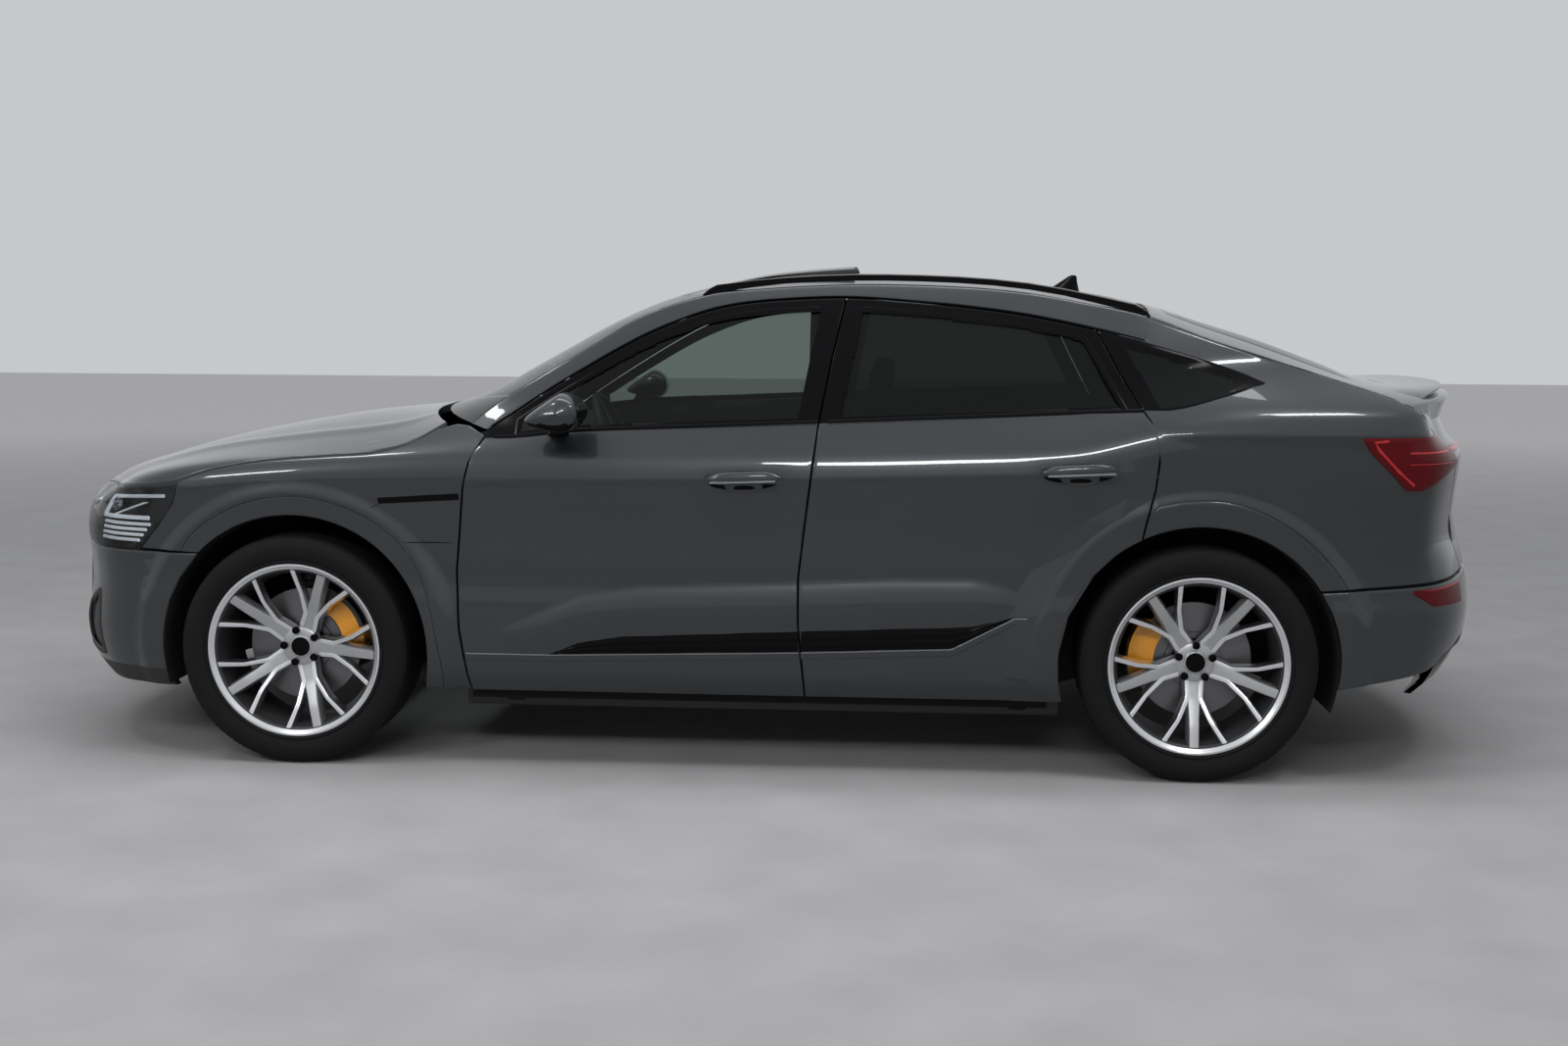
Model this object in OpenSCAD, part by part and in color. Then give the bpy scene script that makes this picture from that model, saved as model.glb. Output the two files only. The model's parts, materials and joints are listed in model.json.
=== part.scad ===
// Coupe sport utility vehicle: four doors, a bonnet and a tailgate on one body frame, in millimetres.
// Front is -X, left is -Y, up is +Z; the ground is Z = 0 and the origin is half way along the car.

/* [View] */
// Sub-part to show, or all of them

/* [Body] */
// Length over the bumpers
body_length = 4901; // [4400:10:5300]
// Width over the arches
body_width = 1935; // [1750:5:2050]
// From the nose to the front axle
front_overhang = 945; // [800:5:1050]
// Between the axles
wheelbase = 2928; // [2650:2:3200]
// Height of the roof along the centre line
roof_height = 1616; // [1500:2:1750]
// Height of the lower edge of the doors
sill_height = 251; // [200:1:300]
// Height of the shoulder crease at the front door
shoulder_height = 960; // [900:2:1020]

/* [Wheels] */
// Tyre diameter as it stands
tyre_diameter = 756; // [680:2:800]
// Tyre width
tyre_width = 265; // [215:5:305]
// Rim diameter over the lip
rim_diameter = 568; // [480:2:600]
// Rim width between the flanges
rim_width = 232; // [190:2:260]
// Between the wheel planes of one axle
track = 1655; // [1500:5:1750]
// Brake disc diameter
disc_diameter = 375; // [320:5:410]
// Wheel bolt circle
bolt_circle = 112; // [100:1:130]
// Radius of the wheel arch openings
arch_radius = 446; // [420:1:470]
// Height of the flare over the side
flare = 12; // [0:1:25]

/* [Panels] */
// Gap round doors, bonnet and tailgate
gap = 7; // [6:0.5:10]
// Seam between fixed panels
seam = 0.6; // [0.3:0.1:0.9]
// Thickness of fixed outer panels
skin = 14; // [8:1:25]
// Thickness of the doors
door_thickness = 105; // [80:1:140]
// Thickness of door window frames
frame_thickness = 36; // [25:1:50]
// Thickness of the side glass
glass = 5; // [4:0.5:8]
// How far the sunroof stands up at its rear edge
sunroof_tilt = 32; // [0:1:60]

/* [Hinges] */
// Door hinge pin radius
pin = 7; // [5:0.5:10]
// Depth of the door hinge axis below the widest point of the side
hinge_depth = 17; // [16:1:24]
// How far the steering axis lies inside the wheel plane
kingpin_offset = 75; // [64:1:90]

/* [Hidden] */
$fn = 48;
nose = -body_length / 2;
tail = body_length / 2;
half = body_width / 2;
fa = nose + front_overhang;
ra = fa + wheelbase;
za = tyre_diameter / 2;
kz = shoulder_height - 960;
kr = roof_height - 1616;
cut_f = fa + 552;
cut_b = (fa + ra) / 2 + 190;
hinge_y = half * 0.989 - hinge_depth;
post_y = hinge_y - 104.9;
wk = half / 967.5;
hinge_f = cut_f + 74;
hinge_r = cut_b + 82;
king_y = track / 2 - kingpin_offset;

// Shape functions
function ss(t) = let (s = min(max(t, 0), 1)) s * s * (3 - 2 * s);
function mix(a, b, t) = a + (b - a) * t;
function seg(t, u, i = 0) = i >= len(t) - 2 || u < t[i + 1][0] ? i : seg(t, u, i + 1);
function slope(t, j, k) = let (a = max(j - 1, 0), b = min(j + 1, len(t) - 1))
    (t[b][k] - t[a][k]) / (t[b][0] - t[a][0]);
function curve(t, u, k = 1) = let (v = min(max(u, t[0][0]), t[len(t) - 1][0]), i = seg(t, v),
    h = t[i + 1][0] - t[i][0], s = (v - t[i][0]) / h)
    (2 * s * s * s - 3 * s * s + 1) * t[i][k] + (s * s * s - 2 * s * s + s) * h * slope(t, i, k)
    + (3 * s * s - 2 * s * s * s) * t[i + 1][k] + (s * s * s - s * s) * h * slope(t, i + 1, k);
function linear(t, u, k = 1) = let (v = min(max(u, t[0][0]), t[len(t) - 1][0]), i = seg(t, v))
    mix(t[i][k], t[i + 1][k], (v - t[i][0]) / (t[i + 1][0] - t[i][0]));

// Plan of the side: path along it, X and half width
plan = [[nose - 650, nose, 0], [nose - 345, nose + 9, 0.31 * half], [nose - 160, nose + 47, 0.496 * half],
    [nose - 32, nose + 98, 0.62 * half], [nose + 70, nose + 148, 0.713 * half],
    [nose + 180, nose + 213, 0.806 * half], [nose + 297, nose + 303, 0.882 * half],
    [nose + 450, nose + 450, 0.938 * half], [nose + 650, nose + 650, 0.969 * half], [fa, fa, 0.982 * half],
    [fa + 620, fa + 620, 0.989 * half], [(fa + ra) / 2, (fa + ra) / 2, 0.997 * half],
    [ra - 500, ra - 500, 0.997 * half], [ra, ra, 0.987 * half], [tail - 650, tail - 650, 0.972 * half],
    [tail - 450, tail - 452, 0.948 * half], [tail - 300, tail - 310, 0.905 * half],
    [tail - 190, tail - 226, 0.842 * half], [tail - 78, tail - 158, 0.749 * half],
    [tail + 70, tail - 98, 0.61 * half], [tail + 265, tail - 38, 0.413 * half],
    [tail + 467, tail - 10, 0.207 * half], [tail + 667, tail, 0]];
// Height at which the side turns in
shoulder = [[nose, 812], [nose + 250, 847], [nose + 450, 887], [fa, 937], [cut_f + 50, 955], [fa + 1360, 963],
    [ra - 800, 980], [ra - 400, 1002], [ra - 140, 1062], [ra + 100, 1097], [ra + 500, 1107], [tail - 150, 1102],
    [tail, 1097]];
// Draw-in of the side below the shoulder, against height
low = [[150, 110], [212, 75], [267, 40], [312, 18], [362, 8], [412, 4], [472, 3], [532, 4], [612, 10], [712, 14],
    [812, 11], [892, 5], [952, 0], [972, 0]];
// Draw-in above the shoulder, against height over it
high = [[0, 0], [30, 4], [60, 13], [90, 27], [120, 43], [160, 66], [250, 108], [350, 156], [450, 211], [540, 268],
    [580, 298], [640, 350]];
// Draw-in of nose and tail along X
nose_in = [[150, 120], [212, 80], [247, 45], [312, 12], [412, 0], [492, 12], [572, 20], [652, 14], [732, 6],
    [792, 16], [842, 42], [882, 85], [912, 130], [962, 190]];
tail_in = [[200, 190], [262, 130], [312, 70], [372, 35], [432, 10], [512, 0], [572, 4], [652, 18], [712, 35],
    [772, 58], [832, 64], [912, 58], [992, 50], [1042, 50], [1092, 96], [1152, 122], [1212, 132], [1312, 150]];
// Draw-in of the cabin at its ends, and how fast the fender rolls over
cabin_in = [[fa + 325, 85], [fa + 525, 60], [fa + 725, 30], [fa + 925, 12], [fa + 1225, 0], [ra - 1100, 0],
    [ra - 600, 10], [ra - 200, 40], [ra + 100, 80], [ra + 300, 115], [ra + 600, 185], [tail - 150, 270]];
roll = [[nose, 2], [nose + 350, 2], [fa, 1.6], [cut_f + 50, 1], [fa + 1500, 1], [tail, 1]];
function bulge(x, z) = max([for (a = [fa, ra]) flare * (1 - ss((norm([x - a, z - za]) - 515) / 50))]);
function side(u, z, d = 0) = let (x = curve(plan, u, 1), w = curve(plan, u, 2), dz = z - curve(shoulder, x) - kz,
    in = dz <= 0 ? curve(low, min(z - kz, 972)) : curve(high, dz) * curve(roll, x),
    e = 2, tx = curve(plan, u + e, 1) - curve(plan, u - e, 1), tw = curve(plan, u + e, 2) - curve(plan, u - e, 2),
    q = norm([tx, tw]),
    px = x + curve(nose_in, z) * ss((nose + 450 - u) / 400) - curve(tail_in, z) * ss((u - tail + 450) / 400),
    py = w * (1 - in / 965) - curve(cabin_in, x) * ss((dz - 60) / 200) * min(1, w / (0.8 * half))
        + bulge(x, z) * ss(w / (0.6 * half) - 0.5))
    [px + d * tw / q, -(py - d * tx / q), z];

// Lines on the side, as [path, height]
top_line = [[fa + 634, 1097], [fa + 668, 1123], [fa + 884, 1263], [fa + 1105, 1392], [fa + 1246, 1456],
    [fa + 1370, 1497], [fa + 1505, 1520], [fa + 1722, 1534], [fa + 1848, 1533], [fa + 1998, 1522],
    [ra - 742, 1505], [ra - 558, 1481], [ra - 373, 1445], [ra - 192, 1402], [ra - 10, 1350], [ra + 123, 1306],
    [ra + 204, 1271]];
belt_line = [[fa + 552, 1079], [fa + 731, 1082], [fa + 924, 1102], [fa + 1288, 1118], [fa + 1722, 1135],
    [ra - 702, 1158], [ra - 196, 1182], [ra - 92, 1186], [ra + 64, 1226], [ra + 193, 1265]];
edge_line = [[fa + 579, 1124], [fa + 659, 1187], [fa + 801, 1276], [fa + 983, 1388], [fa + 1138, 1478],
    [fa + 1333, 1541], [fa + 1455, 1557], [fa + 1720, 1574], [fa + 1907, 1578], [ra - 745, 1570], [ra - 556, 1553],
    [ra - 370, 1521], [ra - 166, 1478], [ra + 48, 1400], [ra + 300, 1320], [ra + 548, 1240], [tail - 350, 1196]];
bonnet_line = [[nose + 560, 925], [nose + 640, 955], [nose + 720, 974], [nose + 850, 997], [fa + 141, 1017], [fa + 281, 1029],
    [fa + 394, 1060], [fa + 460, 1098], [fa + 497, 1121]];
front_cut = [[150, cut_f + 33], [251, cut_f + 30], [465, cut_f - 1], [656, cut_f - 6], [861, cut_f + 13],
    [925, cut_f + 20], [1026, cut_f + 44], [1079, cut_f + 82], [1600, cut_f + 82]];
mid_cut = [[150, cut_b + 24], [289, cut_b + 20], [486, cut_b + 1], [643, cut_b], [801, cut_b + 18],
    [990, cut_b + 42], [1135, cut_b + 59], [1356, cut_b + 100], [1536, cut_b + 139], [1600, cut_b + 153]];
rear_cut = [[780, ra - 190], [832, ra - 180], [940, ra - 153], [1060, ra - 140], [1115, ra - 140], [1170, ra - 182],
    [1316, ra - 266], [1439, ra - 330], [1600, ra - 414]];
function arch_x(z, r) = ra - sqrt(max(r * r - pow(z - za, 2), 1));
function rear_edge(z) = z < 780 ? arch_x(z, arch_radius) : linear(rear_cut, z);

// Centre line of the upper body, as [X, height]
crown = [[nose + 75, 868], [nose + 137, 915], [nose + 253, 958], [nose + 447, 1017], [nose + 637, 1058],
    [nose + 925, 1106], [fa + 269, 1136], [fa + 330, 1146], [fa + 360, 1152], [fa + 443, 1176], [fa + 536, 1212],
    [fa + 629, 1265], [fa + 722, 1317],
    [fa + 814, 1368], [fa + 907, 1420], [fa + 998, 1467], [fa + 1090, 1509], [fa + 1181, 1541], [fa + 1271, 1566],
    [fa + 1362, 1587], [fa + 1452, 1602], [fa + 1542, 1611], [fa + 1700, 1616], [fa + 1901, 1615],
    [ra - 849, 1608], [ra - 671, 1598], [ra - 494, 1586], [ra - 405, 1574], [ra - 228, 1546], [ra - 139, 1528],
    [ra - 50, 1503], [ra + 39, 1473], [ra + 127, 1446], [ra + 215, 1420], [ra + 304, 1391], [ra + 393, 1359],
    [ra + 481, 1326], [ra + 570, 1292], [ra + 659, 1262], [ra + 746, 1250], [ra + 833, 1243], [tail - 70, 1228]];
function lift(x) = kr * ss((x - fa - 330) / 800) * ss((tail - 100 - x) / 900);
function top_z(x) = curve(crown, x) + lift(x);
// Point across the upper body: from the edge point e, fraction h of the half width, centre point [xc, zc]
function across(e, xc, zc, h, p = 2.2, q = 2.2) = [e[0] + (xc - e[0]) * (1 - pow(abs(h), q)), -e[1] * h,
    e[2] + (zc - e[2]) * (1 - pow(abs(h), p))];
function steps(a, b, n) = [for (i = [0 : n]) mix(a, b, i / n)];

// A closed slab between an outer and an inner grid of points
module slab(outer, inner) {
    r = len(outer);
    c = len(outer[0]);
    k = r * c;
    points = concat([for (row = outer) for (p = row) p], [for (row = inner) for (p = row) p]);
    cells = [for (i = [0 : r - 2]) for (j = [0 : c - 2]) i * c + j];
    faces = concat(
        [for (a = cells) for (f = [[a, a + 1, a + c + 1], [a, a + c + 1, a + c],
            [k + a, k + a + c + 1, k + a + 1], [k + a, k + a + c, k + a + c + 1]]) f],
        [for (j = [0 : c - 2]) for (f = [[j, k + j, k + j + 1], [j, k + j + 1, j + 1]]) f],
        [for (j = [0 : c - 2]) let (a = (r - 1) * c + j) for (f = [[a, a + 1, k + a + 1], [a, k + a + 1, k + a]]) f],
        [for (i = [0 : r - 2]) let (a = i * c) for (f = [[a, a + c, k + a + c], [a, k + a + c, k + a]]) f],
        [for (i = [0 : r - 2]) let (a = i * c + c - 1) for (f = [[a, k + a, k + a + c], [a, k + a + c, a + c]]) f]);
    polyhedron(points, faces, 2);
}
module both() {
    children();
    mirror([0, 1, 0]) children();
}
module block(a, b) {
    translate(a) cube(b - a);
}
// A prism along Y with an outline in X and Z, from y0 to y1
module prism_y(outline, y0, y1) {
    translate([0, y1, 0]) rotate([90, 0, 0]) linear_extrude(y1 - y0) polygon(outline);
}
module pipe(a, b, r) {
    d = b - a;
    translate(a) rotate([0, acos(d[2] / norm(d)), atan2(d[1], d[0])]) cylinder(norm(d), r, r, $fn = 24);
}

// Doors: columns from the front edge, rows from the sill over the belt to the frame
door_rows = [0, 0.09, 0.165, 0.185, 0.31, 0.45, 0.61, 0.73, 0.83, 0.91, 1, 1.35, 1.7, 2];
function door_u(k, z, front, rear) = let (f = front(z), w = rear(z) - f)
    f + (k < 3 ? [0, 50, 98][k] : k < 9 ? mix(112, w - 80, (k - 3) / 5) : w - [66, 30, 0][k - 9]);
function door_z(r, u) = let (b = curve(belt_line, u) + kz, t = max(curve(top_line, u) + lift(u) - gap / 2, b + 18))
    r <= 1 ? mix(sill_height, b, r) : mix(b, t, r - 1);
function door_depth(k, r) = r > 1 ? (k < 3 ? 12 : k > 8 ? 14 : frame_thickness)
    : k < 3 ? 9 : k > 8 ? min(r < 0.17 ? 36 : 58, door_thickness) : r < 0.17 ? 36 : r < 0.95 ? door_thickness : 60;
function door_grid(front, rear, inner) = [for (r = door_rows) [for (k = [0 : 11])
    let (u0 = door_u(k, 700, front, rear), u1 = door_u(k, door_z(r, u0), front, rear), z1 = door_z(r, u1),
        u2 = door_u(k, z1, front, rear)) side(u2, z1, inner ? door_depth(k, r) : 0)]];
f_front = function (z) linear(front_cut, z) + gap / 2;
f_rear = function (z) linear(mid_cut, z) - gap / 2;
r_front = function (z) linear(mid_cut, z) + gap / 2;
r_rear = function (z) rear_edge(z) - (z < 780 ? 0 : gap / 2);
// Windows: lower and upper edge points, as [X, height]
function sill_z(u) = curve(belt_line, u) + kz + 12;
function head_z(u) = curve(top_line, u) + lift(u) - 40;
function window(b0, b1, t0, t1, n, d = 0) = [[for (i = [0 : n]) let (u = mix(b0 + d, b1 - d, i / n)) [u, sill_z(u) + d]],
    [for (i = [0 : n]) let (u = mix(t0 + d, t1 - d, i / n)) [u, head_z(u) - d]]];
function front_window(d = 0) = window(fa + 745, linear(mid_cut, 1150) - 66, fa + 745, linear(mid_cut, 1490) - 66, 8, d);
function rear_window_side(d = 0) = window(linear(mid_cut, 1150) + 62, rear_edge(1190) - 58,
    linear(mid_cut, 1490) + 62, rear_edge(1410) - 58, 8, d);
function quarter_window(d = 0) = window(rear_edge(1190) + 60, ra + 92, rear_edge(1395) + 74, ra + 92, 5, d);
function outline(w) = concat(w[0], [for (i = [len(w[1]) - 1 : -1 : 0]) w[1][i]]);
module pane(w) {
    grid = function (d) [for (j = [0 : 3]) [for (i = [0 : len(w[0]) - 1])
        let (q = mix(w[0][i], w[1][i], j / 3)) side(q[0], q[1], d)]];
    slab(grid(5), grid(5 + glass));
}
// Door side of a hinge: two knuckles with a bore on the axis
module hinge_leaf(x) {
    for (z = hinge_heights) for (s = [-1, 1]) difference() {
        block([x - 13, -hinge_y - 9, z + s * 20 - 9], [x + 60, -hinge_y + 15, z + s * 20 + 9]);
        translate([x, -hinge_y, z + s * 20 - 12]) cylinder(24, pin + 0.3, pin + 0.3);
    }
}
hinge_heights = [520, 900];
module mirror_foot(d = 0) {
    block([fa + 835 - d, -930, 1060 - d], [fa + 905 + d, -880 + d, 1092 + d]);
}
module front_door() {
    difference() {
        union() {
            difference() {
                slab(door_grid(f_front, f_rear, true), door_grid(f_front, f_rear, false));
                for (z = hinge_heights) translate([hinge_f, -hinge_y, z - 34]) cylinder(68, pin + 1.5, pin + 1.5);
            }
            hinge_leaf(hinge_f);
        }
        prism_y(outline(front_window()), -1000, -500);
        mirror_foot(0.4);
    }
    handle(fa + 1480, 962);
}
module rear_door() {
    difference() {
        union() {
            difference() {
                slab(door_grid(r_front, r_rear, true), door_grid(r_front, r_rear, false));
                for (z = hinge_heights) translate([hinge_r, -hinge_y, z - 34]) cylinder(68, pin + 1.5, pin + 1.5);
            }
            hinge_leaf(hinge_r);
        }
        prism_y(outline(rear_window_side()), -1000, -500);
    }
    handle(ra - 390, 996);
}
module handle(x, z) {
    translate([x, -half * 0.995 - 18, z]) rotate([-90, 0, 0]) linear_extrude(30) offset(10) square([225, 10], true);
}
module mirror_side() {
    mirror_foot();
    block([fa + 845, -955, 1072], [fa + 895, -925, 1120]);
    translate([fa + 905, -1030, 1165]) hull() {
        translate([-35, 75, 0]) scale([1.5, 1, 1.75]) sphere(38, $fn = 16);
        translate([-40, -62, 4]) scale([1.3, 1, 1.6]) sphere(40, $fn = 16);
        translate([20, 0, 4]) cube([8, 190, 128], true);
    }
}

// Fenders: rays from the arch to the lamp, bonnet, pillar and door
fender_out = concat([[nose + 414, 692.6], [nose + 490, 780], [nose + 548, 860]],
    [for (u = [nose + 566, nose + 660, nose + 780, fa - 40, fa + 141, fa + 281, fa + 394, fa + 470])
        [u, curve(bonnet_line, u) - gap / 2]],
    [[fa + 530, 1113], [fa + 572, 1108]],
    [for (z = [1085, 1060, 1010, 925, 861, 656, 465, sill_height]) [linear(front_cut, z) - gap / 2, z]]);
fender_angle = [asin((692.6 - za) / arch_radius), 50, 57, 64, 72, 80, 89, 98, 107, 116, 125, 132, 138, 143, 147, 151, 157, 163, 174, 185, 196.5];
function arch_point(x, a) = [x - arch_radius * cos(a), za + arch_radius * sin(a)];
// Rays from an arch over the middle line to the outer line; depth(i, j) is the distance below the skin
function ring(x, angles, middle, out, n, depth) = [for (j = [0 : n[0] + n[1]]) [for (i = [0 : len(out) - 1])
    let (q = j < n[0] ? mix(arch_point(x, angles[i]), middle[i], j / n[0]) : mix(middle[i], out[i], (j - n[0]) / n[1]))
    side(q[0], q[1], depth(i, j))]];
flush = function (i, j) 0;
thin_top = function (i, j) i > 2 && i < 14 ? mix(skin, 5, max(j - 3, 0) / 3) : skin;
fender_mid = [for (i = [0 : len(fender_out) - 1]) (arch_point(fa, fender_angle[i]) + fender_out[i]) / 2];
fender_in = ring(fa, fender_angle, fender_mid, fender_out, [3, 3], thin_top);
module fender() {
    slab(ring(fa, fender_angle, fender_mid, fender_out, [3, 3], flush), fender_in);
}
// Quarter panels: rays from the arch to the door, pillar, tailgate and rear bumper
function tail_cut(z) = linear([[600, tail + 10], [850, tail + 10], [1000, tail - 20], [1110, tail - 120],
    [1150, tail - 215], [1196, tail - 350]], z);
function rear_seam(u) = mix(618, 650, (u - ra - 376) / (tail + 10 - ra - 376));
quarter_out = concat([for (z = [850, 940, 1060, 1115, 1170, 1240, 1316, 1430]) [linear(rear_cut, z) + gap / 2, z]],
    [for (u = [ra - 250, ra - 172]) [u, curve(top_line, u) + gap / 2 - seam]],
    [[ra - 167, curve(top_line, ra - 170) + gap / 2 - seam], [ra - 163, 1477 - gap / 2]],
    [for (u = [ra + 48, ra + 170, ra + 300, ra + 430, ra + 548]) [u, curve(edge_line, u) - gap / 2]],
    [for (z = [1190, 1150, 1110, 1000, 850, 740]) [tail_cut(z) - gap / 2, z]],
    [[tail_cut(650) - gap / 2, rear_seam(tail + 10) + seam]]);
quarter_angle = [68, 68.8, 69.8, 70.8, 72, 74, 76, 79, 82, 85, 86.2, 88.5, 94, 97, 101, 105, 108.5, 112, 116, 119, 125,
    133, 140, 147.3];
quarter_mid = [for (i = [0 : len(quarter_out) - 1]) i > 3 && i < 18 ? [mix(ra - 130, ra + 470, (i - 4) / 13), 1119]
    : mix(arch_point(ra, quarter_angle[i]), quarter_out[i], i < 4 ? 0.5 : 0.6)];
quarter_thin = function (i, j) i > 9 && i < 19 ? mix(skin, 4, max(j - 6, 0) / 3) : skin;
quarter_in = ring(ra, quarter_angle, quarter_mid, quarter_out, [4, 5], quarter_thin);
lamp_notch = [[tail - 550, 1112], [tail - 516, 1060], [tail - 390, 940], [tail + 50, 940], [tail + 50, 1112]];
module quarter() {
    difference() {
        slab(ring(ra, quarter_angle, quarter_mid, quarter_out, [4, 5], flush), quarter_in);
        prism_y(outline(quarter_window()), -1000, -500);
        prism_y(lamp_notch, -1000, -500);
    }
}
module tail_lamp() {
    left = function (z) linear([[941, tail - 376], [1060, tail - 508], [1111, tail - 544]], z);
    grid = function (d) [for (z = [940.6, 985, 1035, 1075, 1111.4]) [for (i = [0 : 8])
        side(mix(left(z), tail_cut(z) - gap / 2, i / 8), z, d)]];
    slab(grid(0), grid(skin));
}
// Roof sides: from the windscreen pillar to the tailgate
function edge_u(i) = mix(fa + 579, ra - 166, i / 20);
roof_low = [for (i = [0 : 20]) let (u = mix(fa + 640, ra - 170, i / 20)) [u, curve(top_line, u) + gap / 2 + lift(u)]];
roof_out = [for (j = [0 : 2]) [for (i = [0 : 20])
    let (q = mix(roof_low[i], [edge_u(i), curve(edge_line, edge_u(i)) + lift(edge_u(i))], j / 2)) side(q[0], q[1])]];
roof_in = [for (j = [0 : 2]) [for (i = [0 : 20]) roof_out[j][i] + [[0, 34, 0], [0, 22, -16], [0, 0, -32]][j]]];
module roof_side() {
    slab(roof_out, roof_in);
}
wide = [1, 0.94, 0.86, 0.76, 0.63, 0.48, 0.32, 0.16, 0, -0.16, -0.32, -0.48, -0.63, -0.76, -0.86, -0.94, -1];
// Rows of the upper body: edge path, distance along the centre line, inset from the edge
function upper_row(ue, xc, inset, p = 2.2, q = 2.2, up = 0) = let (e = side(ue, curve(edge_line, ue) + lift(ue) + up),
    f = [e[0], e[1] + inset, e[2]]) [for (h = wide) across(f, xc, top_z(xc), h, p, q)];
function shift(grid, v) = [for (row = grid) [for (p = row) p + v]];
screen = [for (i = [0 : 7]) upper_row(edge_u(i), mix(fa + 362, fa + 1165, i / 7), seam, 2.2, 2.4)];
roof = [for (i = [7 : 20]) let (row = upper_row(edge_u(i), mix(fa + 1165, ra - 146, (i - 7) / 13), seam, i == 7 ? 2.2 : 2.4, 2.4))
    [for (p = row) i == 7 ? p + [seam, 0, 0] : p]];
deck = [for (t = [0, 0.07, 0.2, 0.35, 0.5, 0.65, 0.78, 0.9, 1])
    upper_row(mix(ra - 157, tail - 352, t), mix(ra - 125, tail - 72, t), 2, 2.6, mix(2.4, 2.1, t), 3)];
tail_hinge = [ra - 159, 1505 + kr];
module roof_panel_body() {
    difference() {
        union() {
            slab(shift(roof, [0, 0, -28]), roof);
            prism_y([[ra - 440, 1562 + kr], [ra - 340, 1618 + kr], [ra - 326, 1618 + kr], [ra - 308, 1545 + kr]], -14, 14);
        }
        translate([0, 0, 900]) linear_extrude(1100) sunroof_outline(0);
        both() block([tail_hinge[0] - 26, -470, 900], [ra, -430, 2000]);
    }
    both() translate([tail_hinge[0], -472, tail_hinge[1]]) rotate([-90, 0, 0]) cylinder(44, 5, 5);
}
module sunroof_outline(d) {
    translate([fa + 1340 + d, -440 + d]) square([470 - 2 * d, 880 - 2 * d]);
}
module sunroof_pane() {
    x0 = fa + 1340.5;
    grid = function (d) [for (i = [0 : 5]) [for (j = [-4 : 4]) let (x = mix(x0, x0 + 469, i / 5), y = j * 109.88)
        [x, y, top_z(x) - 42 * pow(abs(y) / 680, 2.4) + sunroof_tilt * i / 5 - d]]];
    slab(grid(1), grid(21));
}
module rail() {
    n = 12;
    grid = function (d, up) [for (s = [8, 34]) [for (i = [0 : n]) let (u = mix(fa + 1360, ra - 200, i / n),
        e = side(u, curve(edge_line, u) + lift(u)), h = (abs(e[1]) - s) / abs(e[1]),
        zc = top_z(mix(fa + 1165, ra - 140, (u - fa - 1333) / (wheelbase - 1499))))
        [e[0], e[1] + s, e[2] + (zc - e[2]) * (1 - pow(h, 2.4)) + 1.5 + up + 10 * ss(i / 2) * ss((n - i) / 2) * (1 - up / 40)]]];
    slab(grid(0, 26), grid(0, 0));
}
module tailgate_shell(d0, d1) {
    lower = function (d) [for (z = [1150, 1110, 1000, 850, 740, 657 + gap]) [for (h = wide)
        let (p = side(mix(tail_cut(z) + gap / 2, tail + 667, 1 - abs(h)), z, d)) [p[0], p[1] * (h < 0 ? 1 : -1), p[2]]]];
    under = [for (i = [0 : 8]) [for (k = [0 : 16]) deck[i][k] + (k % 16 == 0 ? [0, k == 0 ? -30 : 30, -2]
        : i == 8 ? [-45, 0, -20] : [0, 0, -30])]];
    slab(concat(deck, lower(0)), concat(under, lower(45)));
}
module rear_outline(d) {
    polygon([[ra - 60 + d, -520 + d], [ra + 520 - d, -590 + d], [ra + 520 - d, 590 - d], [ra - 60 + d, 520 - d]]);
}
module tailgate_body() {
    difference() {
        tailgate_shell();
        translate([0, 0, 700]) linear_extrude(1200) rear_outline(0);
    }
    both() difference() {
        block([tail_hinge[0] - 10, -460, tail_hinge[1] - 14], [tail_hinge[0] + 42, -440, tail_hinge[1] + 2]);
        translate([tail_hinge[0], -465, tail_hinge[1]]) rotate([-90, 0, 0]) cylinder(30, 5.3, 5.3);
    }
}
module rear_pane() {
    intersection() {
        slab(shift(deck, [0, 0, -4]), shift(deck, [0, 0, -10]));
        translate([0, 0, 700]) linear_extrude(1200) rear_outline(0.5);
    }
}

// Front end: bonnet edge height along the nose
bonnet_front = [[nose - 650, 870], [nose - 345, 876], [nose - 100, 885], [nose + 100, 894], [nose + 300, 902],
    [nose + 450, 910], [nose + 560, 925]];
front_u = [nose + 558, nose + 430, nose + 297, nose + 180, nose + 70, nose - 32, nose - 160, nose - 345, nose - 650];
bonnet_rows = [0, 0.04, 0.12, 0.25, 0.4, 0.55, 0.7, 0.85, 0.94, 1];
function bonnet_point(t, k) = let (f0 = side(front_u[0], 925 + 5),
    fk = side(front_u[k], curve(bonnet_front, front_u[k]) + 5),
    fc = side(front_u[8], 870 + 5), ue = mix(nose + 558, fa + 494, t),
    e = side(ue, curve(bonnet_line, ue) + 5), h = fk[1] / f0[1],
    xc = mix(fc[0], fa + 322, t), zc = t == 0 ? fc[2] : max(top_z(xc), fc[2] + 8),
    a = (fk[0] - f0[0]) / (fc[0] - f0[0]), b = (fk[2] - f0[2]) / (fc[2] - f0[2]),
    s = ss(t * 1.6), r = ss(t * 4))
    [e[0] + (xc - e[0]) * mix(a, 1 - pow(h, 2.2), s), e[1] * h, e[2] + (zc - e[2]) * mix(b, 1 - pow(h, 2.2), r)];
bonnet_top = [for (t = bonnet_rows) concat([for (k = [0 : 8]) bonnet_point(t, k)],
    [for (k = [7 : -1 : 0]) let (p = bonnet_point(t, k)) [p[0], -p[1], p[2]]])];
bonnet_hinge = [fa + 520, 1096];
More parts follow.
